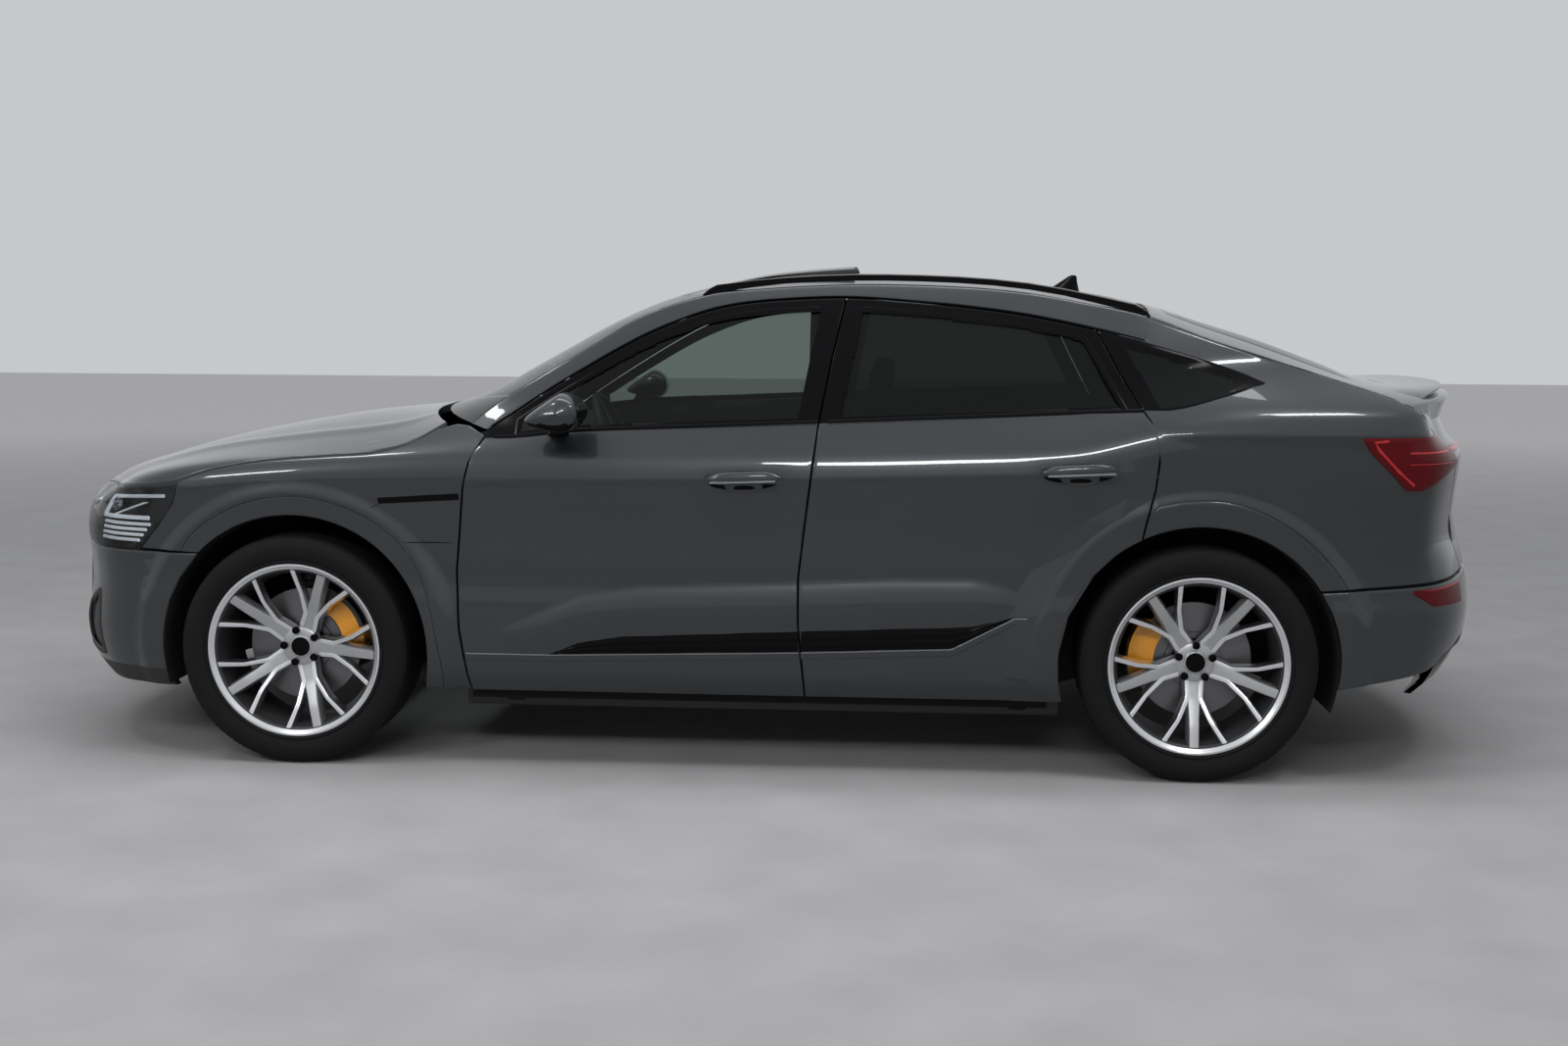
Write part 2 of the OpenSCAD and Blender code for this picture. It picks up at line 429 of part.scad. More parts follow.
module bonnet_body() {
    slab(bonnet_top, [for (i = [0 : 9]) [for (k = [0 : 16]) bonnet_top[i][k] + (i == 0 ? [12, 0, -2]
        : k % 16 == 0 ? [0, k == 0 ? 26 : -26, -2] : i == 1 ? [0, 0, -12] : [0, 0, -26])]]);
    both() difference() {
        block([fa + 420, -790, bonnet_hinge[1] - 22], [bonnet_hinge[0] + 11, -770, bonnet_hinge[1] + 9]);
        translate([bonnet_hinge[0], -795, bonnet_hinge[1]]) rotate([-90, 0, 0]) cylinder(30, 6.3, 6.3);
    }
}
function lamp_rear(z) = linear([[692, nose + 414], [780, nose + 490], [860, nose + 548], [930, nose + 566]], z);
module headlamp() {
    grid = function (d) [for (j = [0 : 4]) [for (i = [0 : 9])
        let (u0 = mix(nose - 96, nose + 414, i / 9), zt = curve(bonnet_front, mix(nose - 140, nose + 555, i / 9)) - gap / 2,
            z = mix(692.7, zt, j / 4), u = mix(nose - 84 - 40 * (z - 693) / 180, lamp_rear(z) - 2, i / 9)) side(u, z, d)]];
    slab(grid(0), grid(40));
}
bumper_rows = [0, 0.08, 0.2, 0.35, 0.5, 0.66, 0.82, 1];
function mirrored(row) = concat(row, [for (k = [len(row) - 2 : -1 : 0]) [row[k][0], -row[k][1], row[k][2]]]);
function front_row(r, d) = mirrored(concat(
    [for (k = [0, 0.35, 0.7]) let (z = mix(240, 692, r), e = fa - sqrt(pow(arch_radius, 2) - pow(z - za, 2)))
        side(mix(e, nose + 414, k), z, d)],
    [for (u = [nose + 414, nose + 297, nose + 180, nose + 70, nose - 32, nose - 97, nose - 137, nose - 230, nose - 345, nose - 500, nose - 650])
        let (zt = u > nose - 110 ? 692 : curve(bonnet_front, u) - gap / 2) side(u, mix(240, zt, r), d)]));
grille_shape = [[-330, 372], [330, 372], [470, 520], [500, 690], [430, 842], [-430, 842], [-500, 690], [-470, 520]];
module prism_x(shape, x0, x1) {
    translate([x0, 0, 0]) rotate([90, 0, 90]) linear_extrude(x1 - x0) children();
}
module front_bumper_body() {
    difference() {
        slab([for (r = bumper_rows) front_row(r, 0)], [for (r = bumper_rows) front_row(r, 25)]);
        prism_x(0, nose - 50, nose + 260) scale([wk, 1]) polygon(grille_shape);
        both() prism_x(0, nose - 50, nose + 330) scale([wk, 1]) polygon([[-800, 330], [-560, 330], [-600, 470], [-770, 540]]);
    }
}
module grille_body() {
    difference() {
        intersection() {
            slab([for (r = bumper_rows) front_row(r, 8)], [for (r = bumper_rows) front_row(r, 22)]);
            prism_x(0, nose - 50, nose + 260) offset(-0.5) scale([wk, 1]) polygon(grille_shape);
        }
        for (z = [690 : 44 : 820]) prism_x(0, nose - 50, nose + 260) translate([-400, z]) square([800, 14]);
    }
    both() intersection() {
        slab([for (r = bumper_rows) front_row(r, 10)], [for (r = bumper_rows) front_row(r, 22)]);
        prism_x(0, nose - 50, nose + 330) offset(-0.5) scale([wk, 1]) polygon([[-800, 330], [-560, 330], [-600, 470], [-770, 540]]);
    }
}
// Rear end
function rear_low(u) = linear([[ra + 400, 300], [ra + 560, 325], [tail - 250, 358], [tail - 90, 415], [tail + 667, 430]], u);
function rear_row(r, d) = mirrored(concat(
    [for (k = [0, 0.35, 0.7]) let (z = mix(300, 618, r), e = ra + sqrt(pow(arch_radius, 2) - pow(z - za, 2)),
        u = mix(e, tail - 420, k)) side(u, mix(rear_low(u), rear_seam(u), r), d)],
    [for (u = [tail - 420, tail - 300, tail - 190, tail - 78, tail + 10, tail + 120, tail + 265, tail + 467, tail + 667])
        side(u, mix(rear_low(u), min(rear_seam(u), 650), r), d)]));
module rear_bumper_body() {
    slab([for (r = bumper_rows) rear_row(r, 0)], [for (r = bumper_rows) rear_row(r, 30)]);
}
module diffuser_body() {
    grid = function (d) [for (r = [0, 0.33, 0.66, 1]) mirrored([for (u = [tail - 190, tail - 78, tail + 10, tail + 120, tail + 265, tail + 467, tail + 667])
        side(u, mix(268, rear_low(u) - seam, r), d)])];
    slab(grid(6), grid(30));
}

// Chassis
module frame_half() {
    block([cut_f + 20, -860, 215], [ra - 470, -790, 395]);
    block([cut_f - 60, -post_y, 335], [hinge_f + 18, -post_y + 95, 1050]);
    translate([hinge_r - 62, 0, 0]) rotate([90, 0, 90]) linear_extrude(77)
        polygon([[-post_y, 340], [-post_y, 1060], [-630 * wk, 1545 + kr], [-580 * wk, 1545 + kr], [-post_y + 90, 1060], [-post_y + 90, 340]]);
    block([bonnet_hinge[0] - 15, -764, 1040], [bonnet_hinge[0] + 15, -750, bonnet_hinge[1] + 8]);
    translate([bonnet_hinge[0], -793, bonnet_hinge[1]]) rotate([-90, 0, 0]) cylinder(40, 6, 6);
    block([nose + 125, -390, 470], [fa + 480, -330, 560]);
    block([ra - 330, -660, 600], [tail - 260, -645, 760]);
    block([ra + 170, -660, 750], [ra + 215, -645, 1080]);
    stud(fender_in[4][18], -800);
    stud(quarter_in[4][14], -655);
    stud(roof_in[0][10], -600);
    for (x = jack_x) translate([x, -825, 205]) cylinder(12, 30, 30);
}
jack_x = [cut_f + 160, ra - 560];
module stud(p, y) {
    translate([p[0], y, p[2]]) rotate([90, 0, 0]) cylinder(-p[1] + y - 0.9, 14, 0.8);
}
module body_frame() {
    color("dimgray") union() {
        both() frame_half();
        block([fa + 470, -800, 330], [ra - 430, 800, 345]);
        block([ra - 440, -640, 330], [ra - 310, 640, 345]);
        block([fa + 470, -740, 335], [fa + 490, 740, 1040]);
        block([fa + 470, -800, 1005], [cut_f + 20, 800, 1050]);
        block([nose + 125, -390, 470], [nose + 175, 390, 560]);
        block([ra - 330, -640, 335], [ra - 310, 640, 615]);
        block([ra - 330, -660, 600], [tail - 190, 660, 615]);
        block([tail - 205, -600, 600], [tail - 190, 600, 645]);
    }
}
module battery_pack() {
    color("gray") block([fa + 520, -720, 160], [ra - 420, 720, 329.6]);
}
module motor(x, z, r, w) {
    translate([x, -w, z]) rotate([-90, 0, 0]) cylinder(2 * w, r, r);
    translate([x, -king_y + 45, za]) rotate([-90, 0, 0]) cylinder(2 * king_y - 90, 16, 16);
}
module drive_motors() {
    color("silver") motor(fa, 395.4, 130, 300);
    color("silver") motor(ra, 410.4, 140, 330);
}
module front_suspension() {
    color("darkgray") union() {
        block([fa - 180, -405, 235], [fa + 180, 405, 265]);
        both() {
            block([fa + 30, -470, 235], [fa + 80, -400, 603]);
            block([fa + 130, -390, 255], [fa + 170, -330, 469.6]);
            translate([0, 0, 228]) linear_extrude(22) polygon([[fa - 70, -395], [fa + 80, -395],
                [fa + 22, -king_y], [fa - 22, -king_y]]);
            translate([fa, -king_y, 228]) cylinder(22, 28, 28);
            translate([fa, -king_y, 228]) cylinder(60, 10, 10);
            translate([0, 0, 585]) linear_extrude(18) polygon([[fa + 30, -460], [fa + 80, -460],
                [fa + 18, -king_y], [fa - 18, -king_y]]);
            translate([fa, -king_y, 585]) cylinder(18, 24, 24);
            translate([fa, -king_y, 552]) cylinder(40, 9, 9);
        }
    }
}
module rear_suspension() {
    color("darkgray") difference() {
        union() {
            block([ra - 200, -420, 235], [ra + 200, 420, 270]);
            both() {
                block([ra - 60, -track / 2 + 67.5, 235], [ra + 60, -400, 262]);
                block([ra - 45, -track / 2 + 57.5, 235], [ra + 45, -track / 2 + 105.5, 480]);
                block([ra - 200, -420, 260], [ra - 150, -370, 599.6]);
                translate([ra, -track / 2 + 67.5, za]) rotate([90, 0, 0]) cylinder(75.5, 30, 30);
                block([ra - 190, -track / 2 + 57.5, za + 5], [ra - 20, -track / 2 + 82.5, za + 60]);
            }
        }
        translate([ra, -track / 2 + 87.5, za]) rotate([-90, 0, 0]) cylinder(track - 175, 18, 18);
    }
}
// Brake caliper over the edge of the disc, at an angle from the front
module caliper(x, angle) {
    translate([x, -track / 2, za]) rotate([90, 0, 0]) rotate(180 - angle) difference() {
        translate([0, 0, -50]) linear_extrude(68) intersection() {
            difference() {
                circle(disc_diameter / 2 + 24);
                circle(disc_diameter / 2 - 58);
            }
            polygon([[0, 0], [300, -150], [300, 150]]);
        }
        translate([0, 0, -34]) linear_extrude(38) circle(disc_diameter / 2 + 6);
    }
}
module rear_calipers() {
    color("orange") both() {
        caliper(ra, 10);
        block([ra - 185, -track / 2 + 49, za + 8], [ra - 140, -track / 2 + 57.1, za + 55]);
    }
}
module knuckle() {
    color("orange") difference() {
        union() {
            translate([fa, -king_y, 256]) cylinder(324, 26, 26);
            translate([fa, -king_y, za]) rotate([90, 0, 0]) cylinder(track / 2 - king_y + 8, 30, 30);
            caliper(fa, 140);
            pipe([fa, -king_y, za + 70], [fa + 125, -track / 2 + 48, za + 105], 20);
        }
        translate([fa, -king_y, 240]) cylinder(50, 10.3, 10.3);
        translate([fa, -king_y, 549]) cylinder(50, 9.3, 9.3);
    }
}

// Wheels, about their own axis with the outer side up
rim = rim_diameter / 2;
module wheel_body(turn) {
    b = rim - 20;
    w = rim_width / 2;
    difference() {
        union() {
            rotate_extrude($fn = 96) polygon([[b - 10, -w - 2], [rim, -w - 2], [rim, -w + 8], [b, -w + 8], [b, w - 8],
                [rim, w - 8], [rim, w + 2], [b - 10, w + 2]]);
            intersection() {
                rotate(turn) linear_extrude(200) spokes();
                rotate_extrude($fn = 96) polygon([[0, 10], [0, 46], [70, 50], [b - 4, w - 3], [b - 4, w - 34], [100, 20], [70, 10]]);
            }
            translate([0, 0, -10]) cylinder(24, 72, 72);
            translate([0, 0, -28]) cylinder(26, disc_diameter / 2, disc_diameter / 2, $fn = 96);
        }
        translate([0, 0, -40]) cylinder(50, 30.3, 30.3);
        for (k = [0 : 4]) rotate(turn + 36 + 72 * k) translate([bolt_circle / 2, 0, 38]) cylinder(30, 9, 9, $fn = 24);
    }
}
module spokes() {
    circle(80);
    for (k = [0 : 4]) rotate(72 * k) {
        polygon([[0, -26], [0, 26], [rim - 22, 13], [rim - 22, -13]]);
        for (s = [-1, 1]) rotate(36) polygon([[rim * 0.16, -8 * s], [rim * 0.16, 8 * s], polar(0.41, 29 * s),
            polar(0.92, 17 * s), polar(0.92, 12 * s), polar(0.41, 23 * s)]);
    }
}
function polar(r, a) = rim * r * [cos(a), sin(a)];
module tyre_body() {
    r = tyre_diameter / 2;
    b = rim - 19.4;
    w = rim_width / 2;
    t = tyre_width / 2;
    rotate_extrude($fn = 96) polygon([[b, -w + 9], [b, w - 9], [rim + 0.6, w - 8.6], [rim + 8, w], [mix(rim, r, 0.45), t],
        [mix(rim, r, 0.72), t - 2], [r - 8, t - 14], [r, t - 40], [r, 40 - t], [r - 8, 14 - t],
        [mix(rim, r, 0.72), 2 - t], [mix(rim, r, 0.45), -t], [rim + 8, -w], [rim + 0.6, 8.6 - w]]);
}
module at_wheel(x) {
    translate([x, -track / 2, za]) rotate([90, 0, 0]) children();
}
module mirror_y() {
    mirror([0, 1, 0]) children();
}

// Cabin
steer_at = [fa + 985, -370, 1030];
module steering_place() {
    translate(steer_at) rotate([0, 65, 0]) children();
}
module steering_wheel() {
    color("black") steering_place() {
        rotate_extrude() translate([175, 0]) circle(15, $fn = 24);
        translate([0, 0, -20]) cylinder(32, 55, 50);
        for (a = [0, 180, 270]) rotate(a) translate([40, -18, -8]) cube([128, 36, 14]);
        translate([0, 0, -170]) cylinder(160, 20, 20);
    }
}
module dashboard() {
    color("black") difference() {
        prism_y([[fa + 490.4, 690], [fa + 490.4, 1004.6], [fa + 572.4, 1004.6], [fa + 572.4, 1078], [fa + 600, 1085], [fa + 800, 1062], [fa + 850, 1000],
            [fa + 840, 910], [fa + 740, 850], [fa + 690, 690]], -732, 732);
        steering_place() translate([0, 0, -230]) cylinder(215, 20.3, 20.3);
        steering_place() translate([0, 0, -60]) cylinder(120, 80, 80);
    }
}
module front_seat() {
    prism_y([[-310, 345.4], [120, 345.4], [190, 470], [400, 985], [450, 1190], [370, 1210], [325, 1000],
        [120, 645], [-330, 665], [-360, 560]], -610, -130);
}
module seats() {
    color("black") both() front_seat();
    color("black") prism_y([[ra - 740, 345.4], [ra - 331, 345.4], [ra - 331, 630], [ra - 240, 650], [ra - 90, 1060],
        [ra - 180, 1090], [ra - 330, 660], [ra - 730, 640], [ra - 760, 560]], -620, 620);
}
module door_hinges() {
    color("gray") both() for (x = [hinge_f, hinge_r]) for (z = hinge_heights) union() {
        translate([x, -hinge_y, z - 30]) cylinder(60, pin, pin);
        block([x - 4.5, -hinge_y, z - 8], [x + 4.5, -post_y - 0.4, z + 8]);
    }
}

// Sub-parts
module fenders() { color("slategray") both() fender(); }
module quarter_panels() { color("slategray") both() quarter(); }
module roof_sides() { color("slategray") both() roof_side(); }
module roof_panel() { color("slategray") roof_panel_body(); }
module sunroof_glass() { color("black") sunroof_pane(); }
module windscreen() { color("lightcyan") slab(shift(screen, [0, 0, -12]), screen); }
module quarter_glasses() { color("black") both() pane(quarter_window(0.5)); }
module front_bumper() { color("slategray") front_bumper_body(); }
module grille() { color("black") grille_body(); }
module headlamps() { color("white") both() headlamp(); }
module rear_bumper() { color("slategray") rear_bumper_body(); }
module diffuser() { color("black") diffuser_body(); }
module tail_lamps() { color("red") both() tail_lamp(); }
module roof_rails() { color("black") both() rail(); }
module bonnet() { color("slategray") bonnet_body(); }
module tailgate() { color("slategray") tailgate_body(); }
module rear_window() { color("black") rear_pane(); }
module front_door_left() { color("slategray") front_door(); }
module front_door_right() { color("slategray") mirror_y() front_door(); }
module rear_door_left() { color("slategray") rear_door(); }
module rear_door_right() { color("slategray") mirror_y() rear_door(); }
module front_glass_left() { color("lightcyan") pane(front_window(0.5)); }
module front_glass_right() { color("lightcyan") mirror_y() pane(front_window(0.5)); }
module rear_glass_left() { color("black") pane(rear_window_side(0.5)); }
module rear_glass_right() { color("black") mirror_y() pane(rear_window_side(0.5)); }
module mirror_left() { color("slategray") mirror_side(); }
module mirror_right() { color("slategray") mirror_y() mirror_side(); }
module knuckle_left() { knuckle(); }
module knuckle_right() { mirror_y() knuckle(); }
module tyre_front_left() { color("black") at_wheel(fa) tyre_body(); }
module tyre_front_right() { color("black") mirror_y() at_wheel(fa) tyre_body(); }
module tyre_rear_left() { color("black") at_wheel(ra) tyre_body(); }
module tyre_rear_right() { color("black") mirror_y() at_wheel(ra) tyre_body(); }
module wheel_front_left() { color("silver") at_wheel(fa) wheel_body(1); }
module wheel_front_right() { color("silver") mirror_y() at_wheel(fa) wheel_body(1); }
module wheel_rear_left() { color("silver") at_wheel(ra) wheel_body(-90); }
module wheel_rear_right() { color("silver") mirror_y() at_wheel(ra) wheel_body(-90); }

body_frame();
battery_pack();
drive_motors();
front_suspension();
rear_suspension();
fenders();
quarter_panels();
roof_sides();
roof_panel();
sunroof_glass();
windscreen();
quarter_glasses();
front_bumper();
grille();
headlamps();
rear_bumper();
diffuser();
tail_lamps();
roof_rails();
door_hinges();
seats();
dashboard();
steering_wheel();
rear_calipers();
bonnet();
tailgate();
rear_window();
front_door_left();
front_door_right();
rear_door_left();
rear_door_right();
front_glass_left();
front_glass_right();
rear_glass_left();
rear_glass_right();
mirror_left();
mirror_right();
knuckle_left();
knuckle_right();
tyre_front_left();
tyre_front_right();
tyre_rear_left();
tyre_rear_right();
wheel_front_left();
wheel_front_right();
wheel_rear_left();
wheel_rear_right();
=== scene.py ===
import json
import math
import bpy
import numpy as np
from mathutils import Matrix, Vector


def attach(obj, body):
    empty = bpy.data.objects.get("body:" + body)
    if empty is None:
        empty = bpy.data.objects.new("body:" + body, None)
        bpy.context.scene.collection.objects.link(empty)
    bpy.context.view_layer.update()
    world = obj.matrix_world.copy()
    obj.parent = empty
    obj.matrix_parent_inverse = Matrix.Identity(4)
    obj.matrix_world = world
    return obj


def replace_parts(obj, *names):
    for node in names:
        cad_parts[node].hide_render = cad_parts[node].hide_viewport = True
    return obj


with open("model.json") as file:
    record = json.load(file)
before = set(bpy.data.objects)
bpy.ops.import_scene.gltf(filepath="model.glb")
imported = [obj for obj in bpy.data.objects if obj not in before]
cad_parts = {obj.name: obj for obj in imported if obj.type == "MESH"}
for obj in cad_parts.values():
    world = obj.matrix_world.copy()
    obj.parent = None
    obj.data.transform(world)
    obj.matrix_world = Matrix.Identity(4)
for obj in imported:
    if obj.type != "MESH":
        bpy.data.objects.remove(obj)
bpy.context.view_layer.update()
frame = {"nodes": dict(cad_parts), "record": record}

# Sizes in millimetres, as in the solids
NOSE, TAIL, HALF = -2450.5, 2450.5, 967.5
FA, RA, ZA = -1505.5, 1422.5, 378.0
CUT_F, CUT_B = FA + 552, (FA + RA) / 2 + 190
ARCH, FLARE, SILL = 446.0, 12.0, 251.0
RIM, RIM_W, TYRE_R, TYRE_W, TRACK = 284.0, 232.0, 378.0, 265.0, 1655.0
DISC_R, SEAM_F, SEAM_R = 187.5, 509.0, 531.0
DOOR_GAP, PROUD = 2.5, 2.0
NOSE_MID, TAIL_MID = NOSE - 650, TAIL + 667  # the path's ends, on the vehicle's middle
INSERT_F, INSERT_R = -655, 838
SHOULDER_LINE, TAIL_BAR = 1114.0, 1060
SUNROOF_F, SUNROOF_R, SUNROOF_HALF = FA + 1340, FA + 1810, 440
NOTCH_F, NOTCH_IN, NOTCH_OUT = RA - 185, 430, 470
SPOILER_HALF = 715.0
GRIPS = {"front": (FA + 1480, 962, .035), "rear": (RA - 390, 996, .045)}  # station, height and slope


span = np.linspace


def ss(t):
    s = np.clip(t, 0, 1)
    return s * s * (3 - 2 * s)


def mix(a, b, t):
    return a + (b - a) * t


def curve(table, u, k=1):
    t = np.asarray(table, float)
    x, y = t[:, 0], t[:, k]
    m = np.gradient(y)
    m[1:-1] = (y[2:] - y[:-2]) / (x[2:] - x[:-2])
    m[0], m[-1] = (y[1] - y[0]) / (x[1] - x[0]), (y[-1] - y[-2]) / (x[-1] - x[-2])
    v = np.clip(u, x[0], x[-1])
    i = np.clip(np.searchsorted(x, v, side="right") - 1, 0, len(x) - 2)
    h = x[i + 1] - x[i]
    s = (v - x[i]) / h
    return ((2 * s**3 - 3 * s**2 + 1) * y[i] + (s**3 - 2 * s**2 + s) * h * m[i]
            + (3 * s**2 - 2 * s**3) * y[i + 1] + (s**3 - s**2) * h * m[i + 1])


def linear(table, u):
    t = np.asarray(table, float)
    return np.interp(u, t[:, 0], t[:, 1])


def along(*groups):
    """Table of values along the vehicle; each group is measured from its own station."""
    return [[base + x, y] for base, rows in groups for x, y in rows]


def upright(base, rows):
    """Table of stations over the height."""
    return [[z, base + x] for z, x in rows]


PLAN = [[base + u, base + x, w * HALF] for base, rows in (
    (NOSE, [(-650, 0, 0), (-345, 9, .31), (-160, 47, .496), (-32, 98, .62), (70, 148, .713), (180, 213, .806),
            (297, 303, .882), (450, 450, .938), (650, 650, .969)]),
    (FA, [(0, 0, .982), (620, 620, .989)]), ((FA + RA) / 2, [(0, 0, .997)]),
    (RA, [(-500, -500, .997), (0, 0, .987)]),
    (TAIL, [(-650, -650, .972), (-450, -452, .948), (-300, -310, .905), (-190, -226, .842), (-78, -158, .749),
            (70, -98, .61), (265, -38, .413), (467, -10, .207), (667, 0, 0)])) for u, x, w in rows]
SHOULDER = along((NOSE, [(0, 812), (250, 847), (450, 887)]), (FA, [(0, 937)]), (CUT_F, [(50, 955)]),
    (FA, [(1360, 963)]), (RA, [(-800, 980), (-400, 1002), (-140, 1062), (100, 1097), (500, 1107)]),
    (TAIL, [(-150, 1102), (0, 1097)]))
LOW = [[150, 110], [212, 75], [267, 40], [312, 18], [362, 8], [412, 4], [472, 3], [532, 4], [612, 10], [712, 14],
       [812, 11], [892, 5], [952, 0], [972, 0]]
HIGH = [[0, 0], [30, 4], [60, 13], [90, 27], [120, 43], [160, 66], [250, 108], [350, 156], [450, 211], [540, 268],
        [580, 298], [640, 350]]
NOSE_IN = [[150, 120], [212, 80], [247, 45], [312, 12], [412, 0], [492, 12], [572, 20], [652, 14], [732, 6],
           [792, 16], [842, 42], [882, 85], [912, 130], [962, 190]]
TAIL_IN = [[200, 190], [262, 130], [312, 70], [372, 35], [432, 10], [512, 0], [572, 4], [652, 18], [712, 35],
           [772, 58], [832, 64], [912, 58], [992, 50], [1042, 50], [1092, 96], [1152, 122], [1212, 132], [1312, 150]]
CABIN_IN = along((FA, [(325, 85), (525, 60), (725, 30), (925, 12), (1225, 0)]), (RA, [(-1100, 0), (-600, 10),
    (-200, 40), (100, 80), (300, 115), (600, 185)]), (TAIL, [(-150, 270)]))
ROLL = [[NOSE, 2], [NOSE + 350, 2], [FA, 1.6], [CUT_F + 50, 1], [FA + 1500, 1], [TAIL, 1]]
TOP = along((FA, [(634, 1097), (668, 1123), (884, 1263), (1105, 1392), (1246, 1456), (1370, 1497), (1505, 1520),
    (1722, 1534), (1848, 1533), (1998, 1522)]), (RA, [(-742, 1505), (-558, 1481), (-373, 1445), (-192, 1402),
    (-10, 1350), (123, 1306), (204, 1271)]))
BELT = along((FA, [(552, 1079), (731, 1082), (924, 1102), (1288, 1118), (1722, 1135)]), (RA, [(-702, 1158),
    (-196, 1182), (-92, 1186), (64, 1226), (193, 1265)]))
EDGE = along((FA, [(579, 1124), (659, 1187), (801, 1276), (983, 1388), (1138, 1478), (1333, 1541), (1455, 1557),
    (1720, 1574), (1907, 1578)]), (RA, [(-745, 1570), (-556, 1553), (-370, 1521), (-166, 1478), (48, 1400),
    (300, 1320), (548, 1240)]), (TAIL, [(-350, 1196)]))
BONNET = along((NOSE, [(560, 925), (640, 955), (720, 974), (850, 997)]), (FA, [(141, 1017), (281, 1029), (394, 1060),
    (460, 1098), (497, 1121)]))
BONNET_FRONT = along((NOSE, [(-650, 870), (-345, 876), (-100, 885), (100, 894), (300, 902), (450, 910), (560, 925)]))
FRONT_CUT = upright(CUT_F, [(150, 33), (251, 30), (465, -1), (656, -6), (861, 13), (925, 20), (1026, 44), (1079, 82),
    (1600, 82)])
MID_CUT = upright(CUT_B, [(150, 24), (289, 20), (486, 1), (643, 0), (801, 18), (990, 42), (1135, 59), (1356, 100),
    (1536, 139), (1600, 153)])
REAR_CUT = upright(RA, [(780, -190), (832, -180), (940, -153), (1060, -140), (1115, -140), (1170, -182), (1316, -266),
    (1439, -330), (1600, -414)])
CROWN = along((NOSE, [(75, 868), (137, 915), (253, 958), (447, 1017), (637, 1058), (925, 1106)]), (FA, [(269, 1136),
    (330, 1146), (360, 1152), (443, 1176), (536, 1212), (629, 1265), (722, 1317), (814, 1368), (907, 1420),
    (998, 1467), (1090, 1509), (1181, 1541), (1271, 1566), (1362, 1587), (1452, 1602), (1542, 1611), (1700, 1616),
    (1901, 1615)]), (RA, [(-849, 1608), (-671, 1598), (-494, 1586), (-405, 1574), (-228, 1546), (-139, 1528),
    (-50, 1503), (39, 1473), (127, 1446), (215, 1420), (304, 1391), (393, 1359), (481, 1326), (570, 1292),
    (659, 1262), (746, 1250), (833, 1243)]), (TAIL, [(-70, 1228)]))
TAIL_CUT = upright(TAIL, [(600, 10), (850, 10), (1000, -20), (1110, -120), (1150, -215), (1196, -350)])
LAMP_REAR = upright(NOSE, [(692, 414), (780, 490), (860, 548), (930, 566)])
REAR_LOW = along((RA, [(400, 300), (560, 325)]), (TAIL, [(-250, 358), (-90, 415), (667, 430)]))


def side(u, z, d=0.0):
    """Point on the left side: path u, height z, depth d below the skin."""
    u, z, d = np.broadcast_arrays(np.asarray(u, float), np.asarray(z, float), np.asarray(d, float))
    x, w = curve(PLAN, u, 1), curve(PLAN, u, 2)
    dz = z - curve(SHOULDER, x)
    inn = np.where(dz <= 0, curve(LOW, np.minimum(z, 972)), curve(HIGH, dz) * curve(ROLL, x))
    tx = curve(PLAN, u + 2, 1) - curve(PLAN, u - 2, 1)
    tw = curve(PLAN, u + 2, 2) - curve(PLAN, u - 2, 2)
    q = np.hypot(tx, tw)
    px = x + curve(NOSE_IN, z) * ss((NOSE + 450 - u) / 400) - curve(TAIL_IN, z) * ss((u - TAIL + 450) / 400)
    bulge = np.maximum(*[FLARE * (1 - ss((np.hypot(x - a, z - ZA) - 515) / 50)) for a in (FA, RA)])
    py = (w * (1 - inn / 965) - curve(CABIN_IN, x) * ss((dz - 60) / 200) * np.minimum(1, w / (.8 * HALF))
          + bulge * ss(w / (.6 * HALF) - .5))
    return np.stack([px + d * tw / q, -(py - d * tx / q), z], -1)


def rear_edge(z):
    arch = RA - np.sqrt(np.maximum(ARCH**2 - (z - ZA)**2, 1))
    return np.where(z < 780, arch, linear(REAR_CUT, z))


def rear_seam(u):
    return mix(618, 650, (u - RA - 376) / (TAIL + 10 - RA - 376))


def fill(node, values):
    for key, value in values.items():
        node.inputs[key].default_value = value
    return node


def fresh(name):
    m = bpy.data.materials.new(name)
    m.use_nodes = True
    return m, m.node_tree, lambda kind: m.node_tree.nodes.new("ShaderNode" + kind), m.node_tree.links.new


def new_material(name, color, rough, metal, coat, noise, scale, bump=0.0, emit=0.0):
    """Principled surface whose colour and roughness vary a little with a noise."""
    m, nt, node, link = fresh(name)
    b = fill(nt.nodes["Principled BSDF"], {"Base Color": (*color, 1), "Roughness": rough, "Metallic": metal,
                                           "Coat Weight": coat, "Coat Roughness": .03})
    if emit:
        fill(b, {"Emission Color": (*color, 1), "Emission Strength": emit})
    n = fill(node("TexNoise"), {"Scale": scale, "Detail": 6})
    link(node("TexCoord").outputs["Object"], n.inputs["Vector"])
    r = fill(node("MapRange"), {"To Min": max(rough - noise, 0), "To Max": rough + noise})
    link(n.outputs["Fac"], r.inputs["Value"])
    link(r.outputs["Result"], b.inputs["Roughness"])
    c = node("Mix")
    c.data_type = "RGBA"
    fill(c, {"A": (*[v * .82 for v in color], 1), "B": (*[min(v * 1.18, 1) for v in color], 1)})
    link(n.outputs["Fac"], c.inputs["Factor"])
    link(c.outputs["Result"], b.inputs["Base Color"])
    if bump:
        k = fill(node("Bump"), {"Strength": bump, "Distance": .001})
        link(n.outputs["Fac"], k.inputs["Height"])
        link(k.outputs["Normal"], b.inputs["Normal"])
    return m


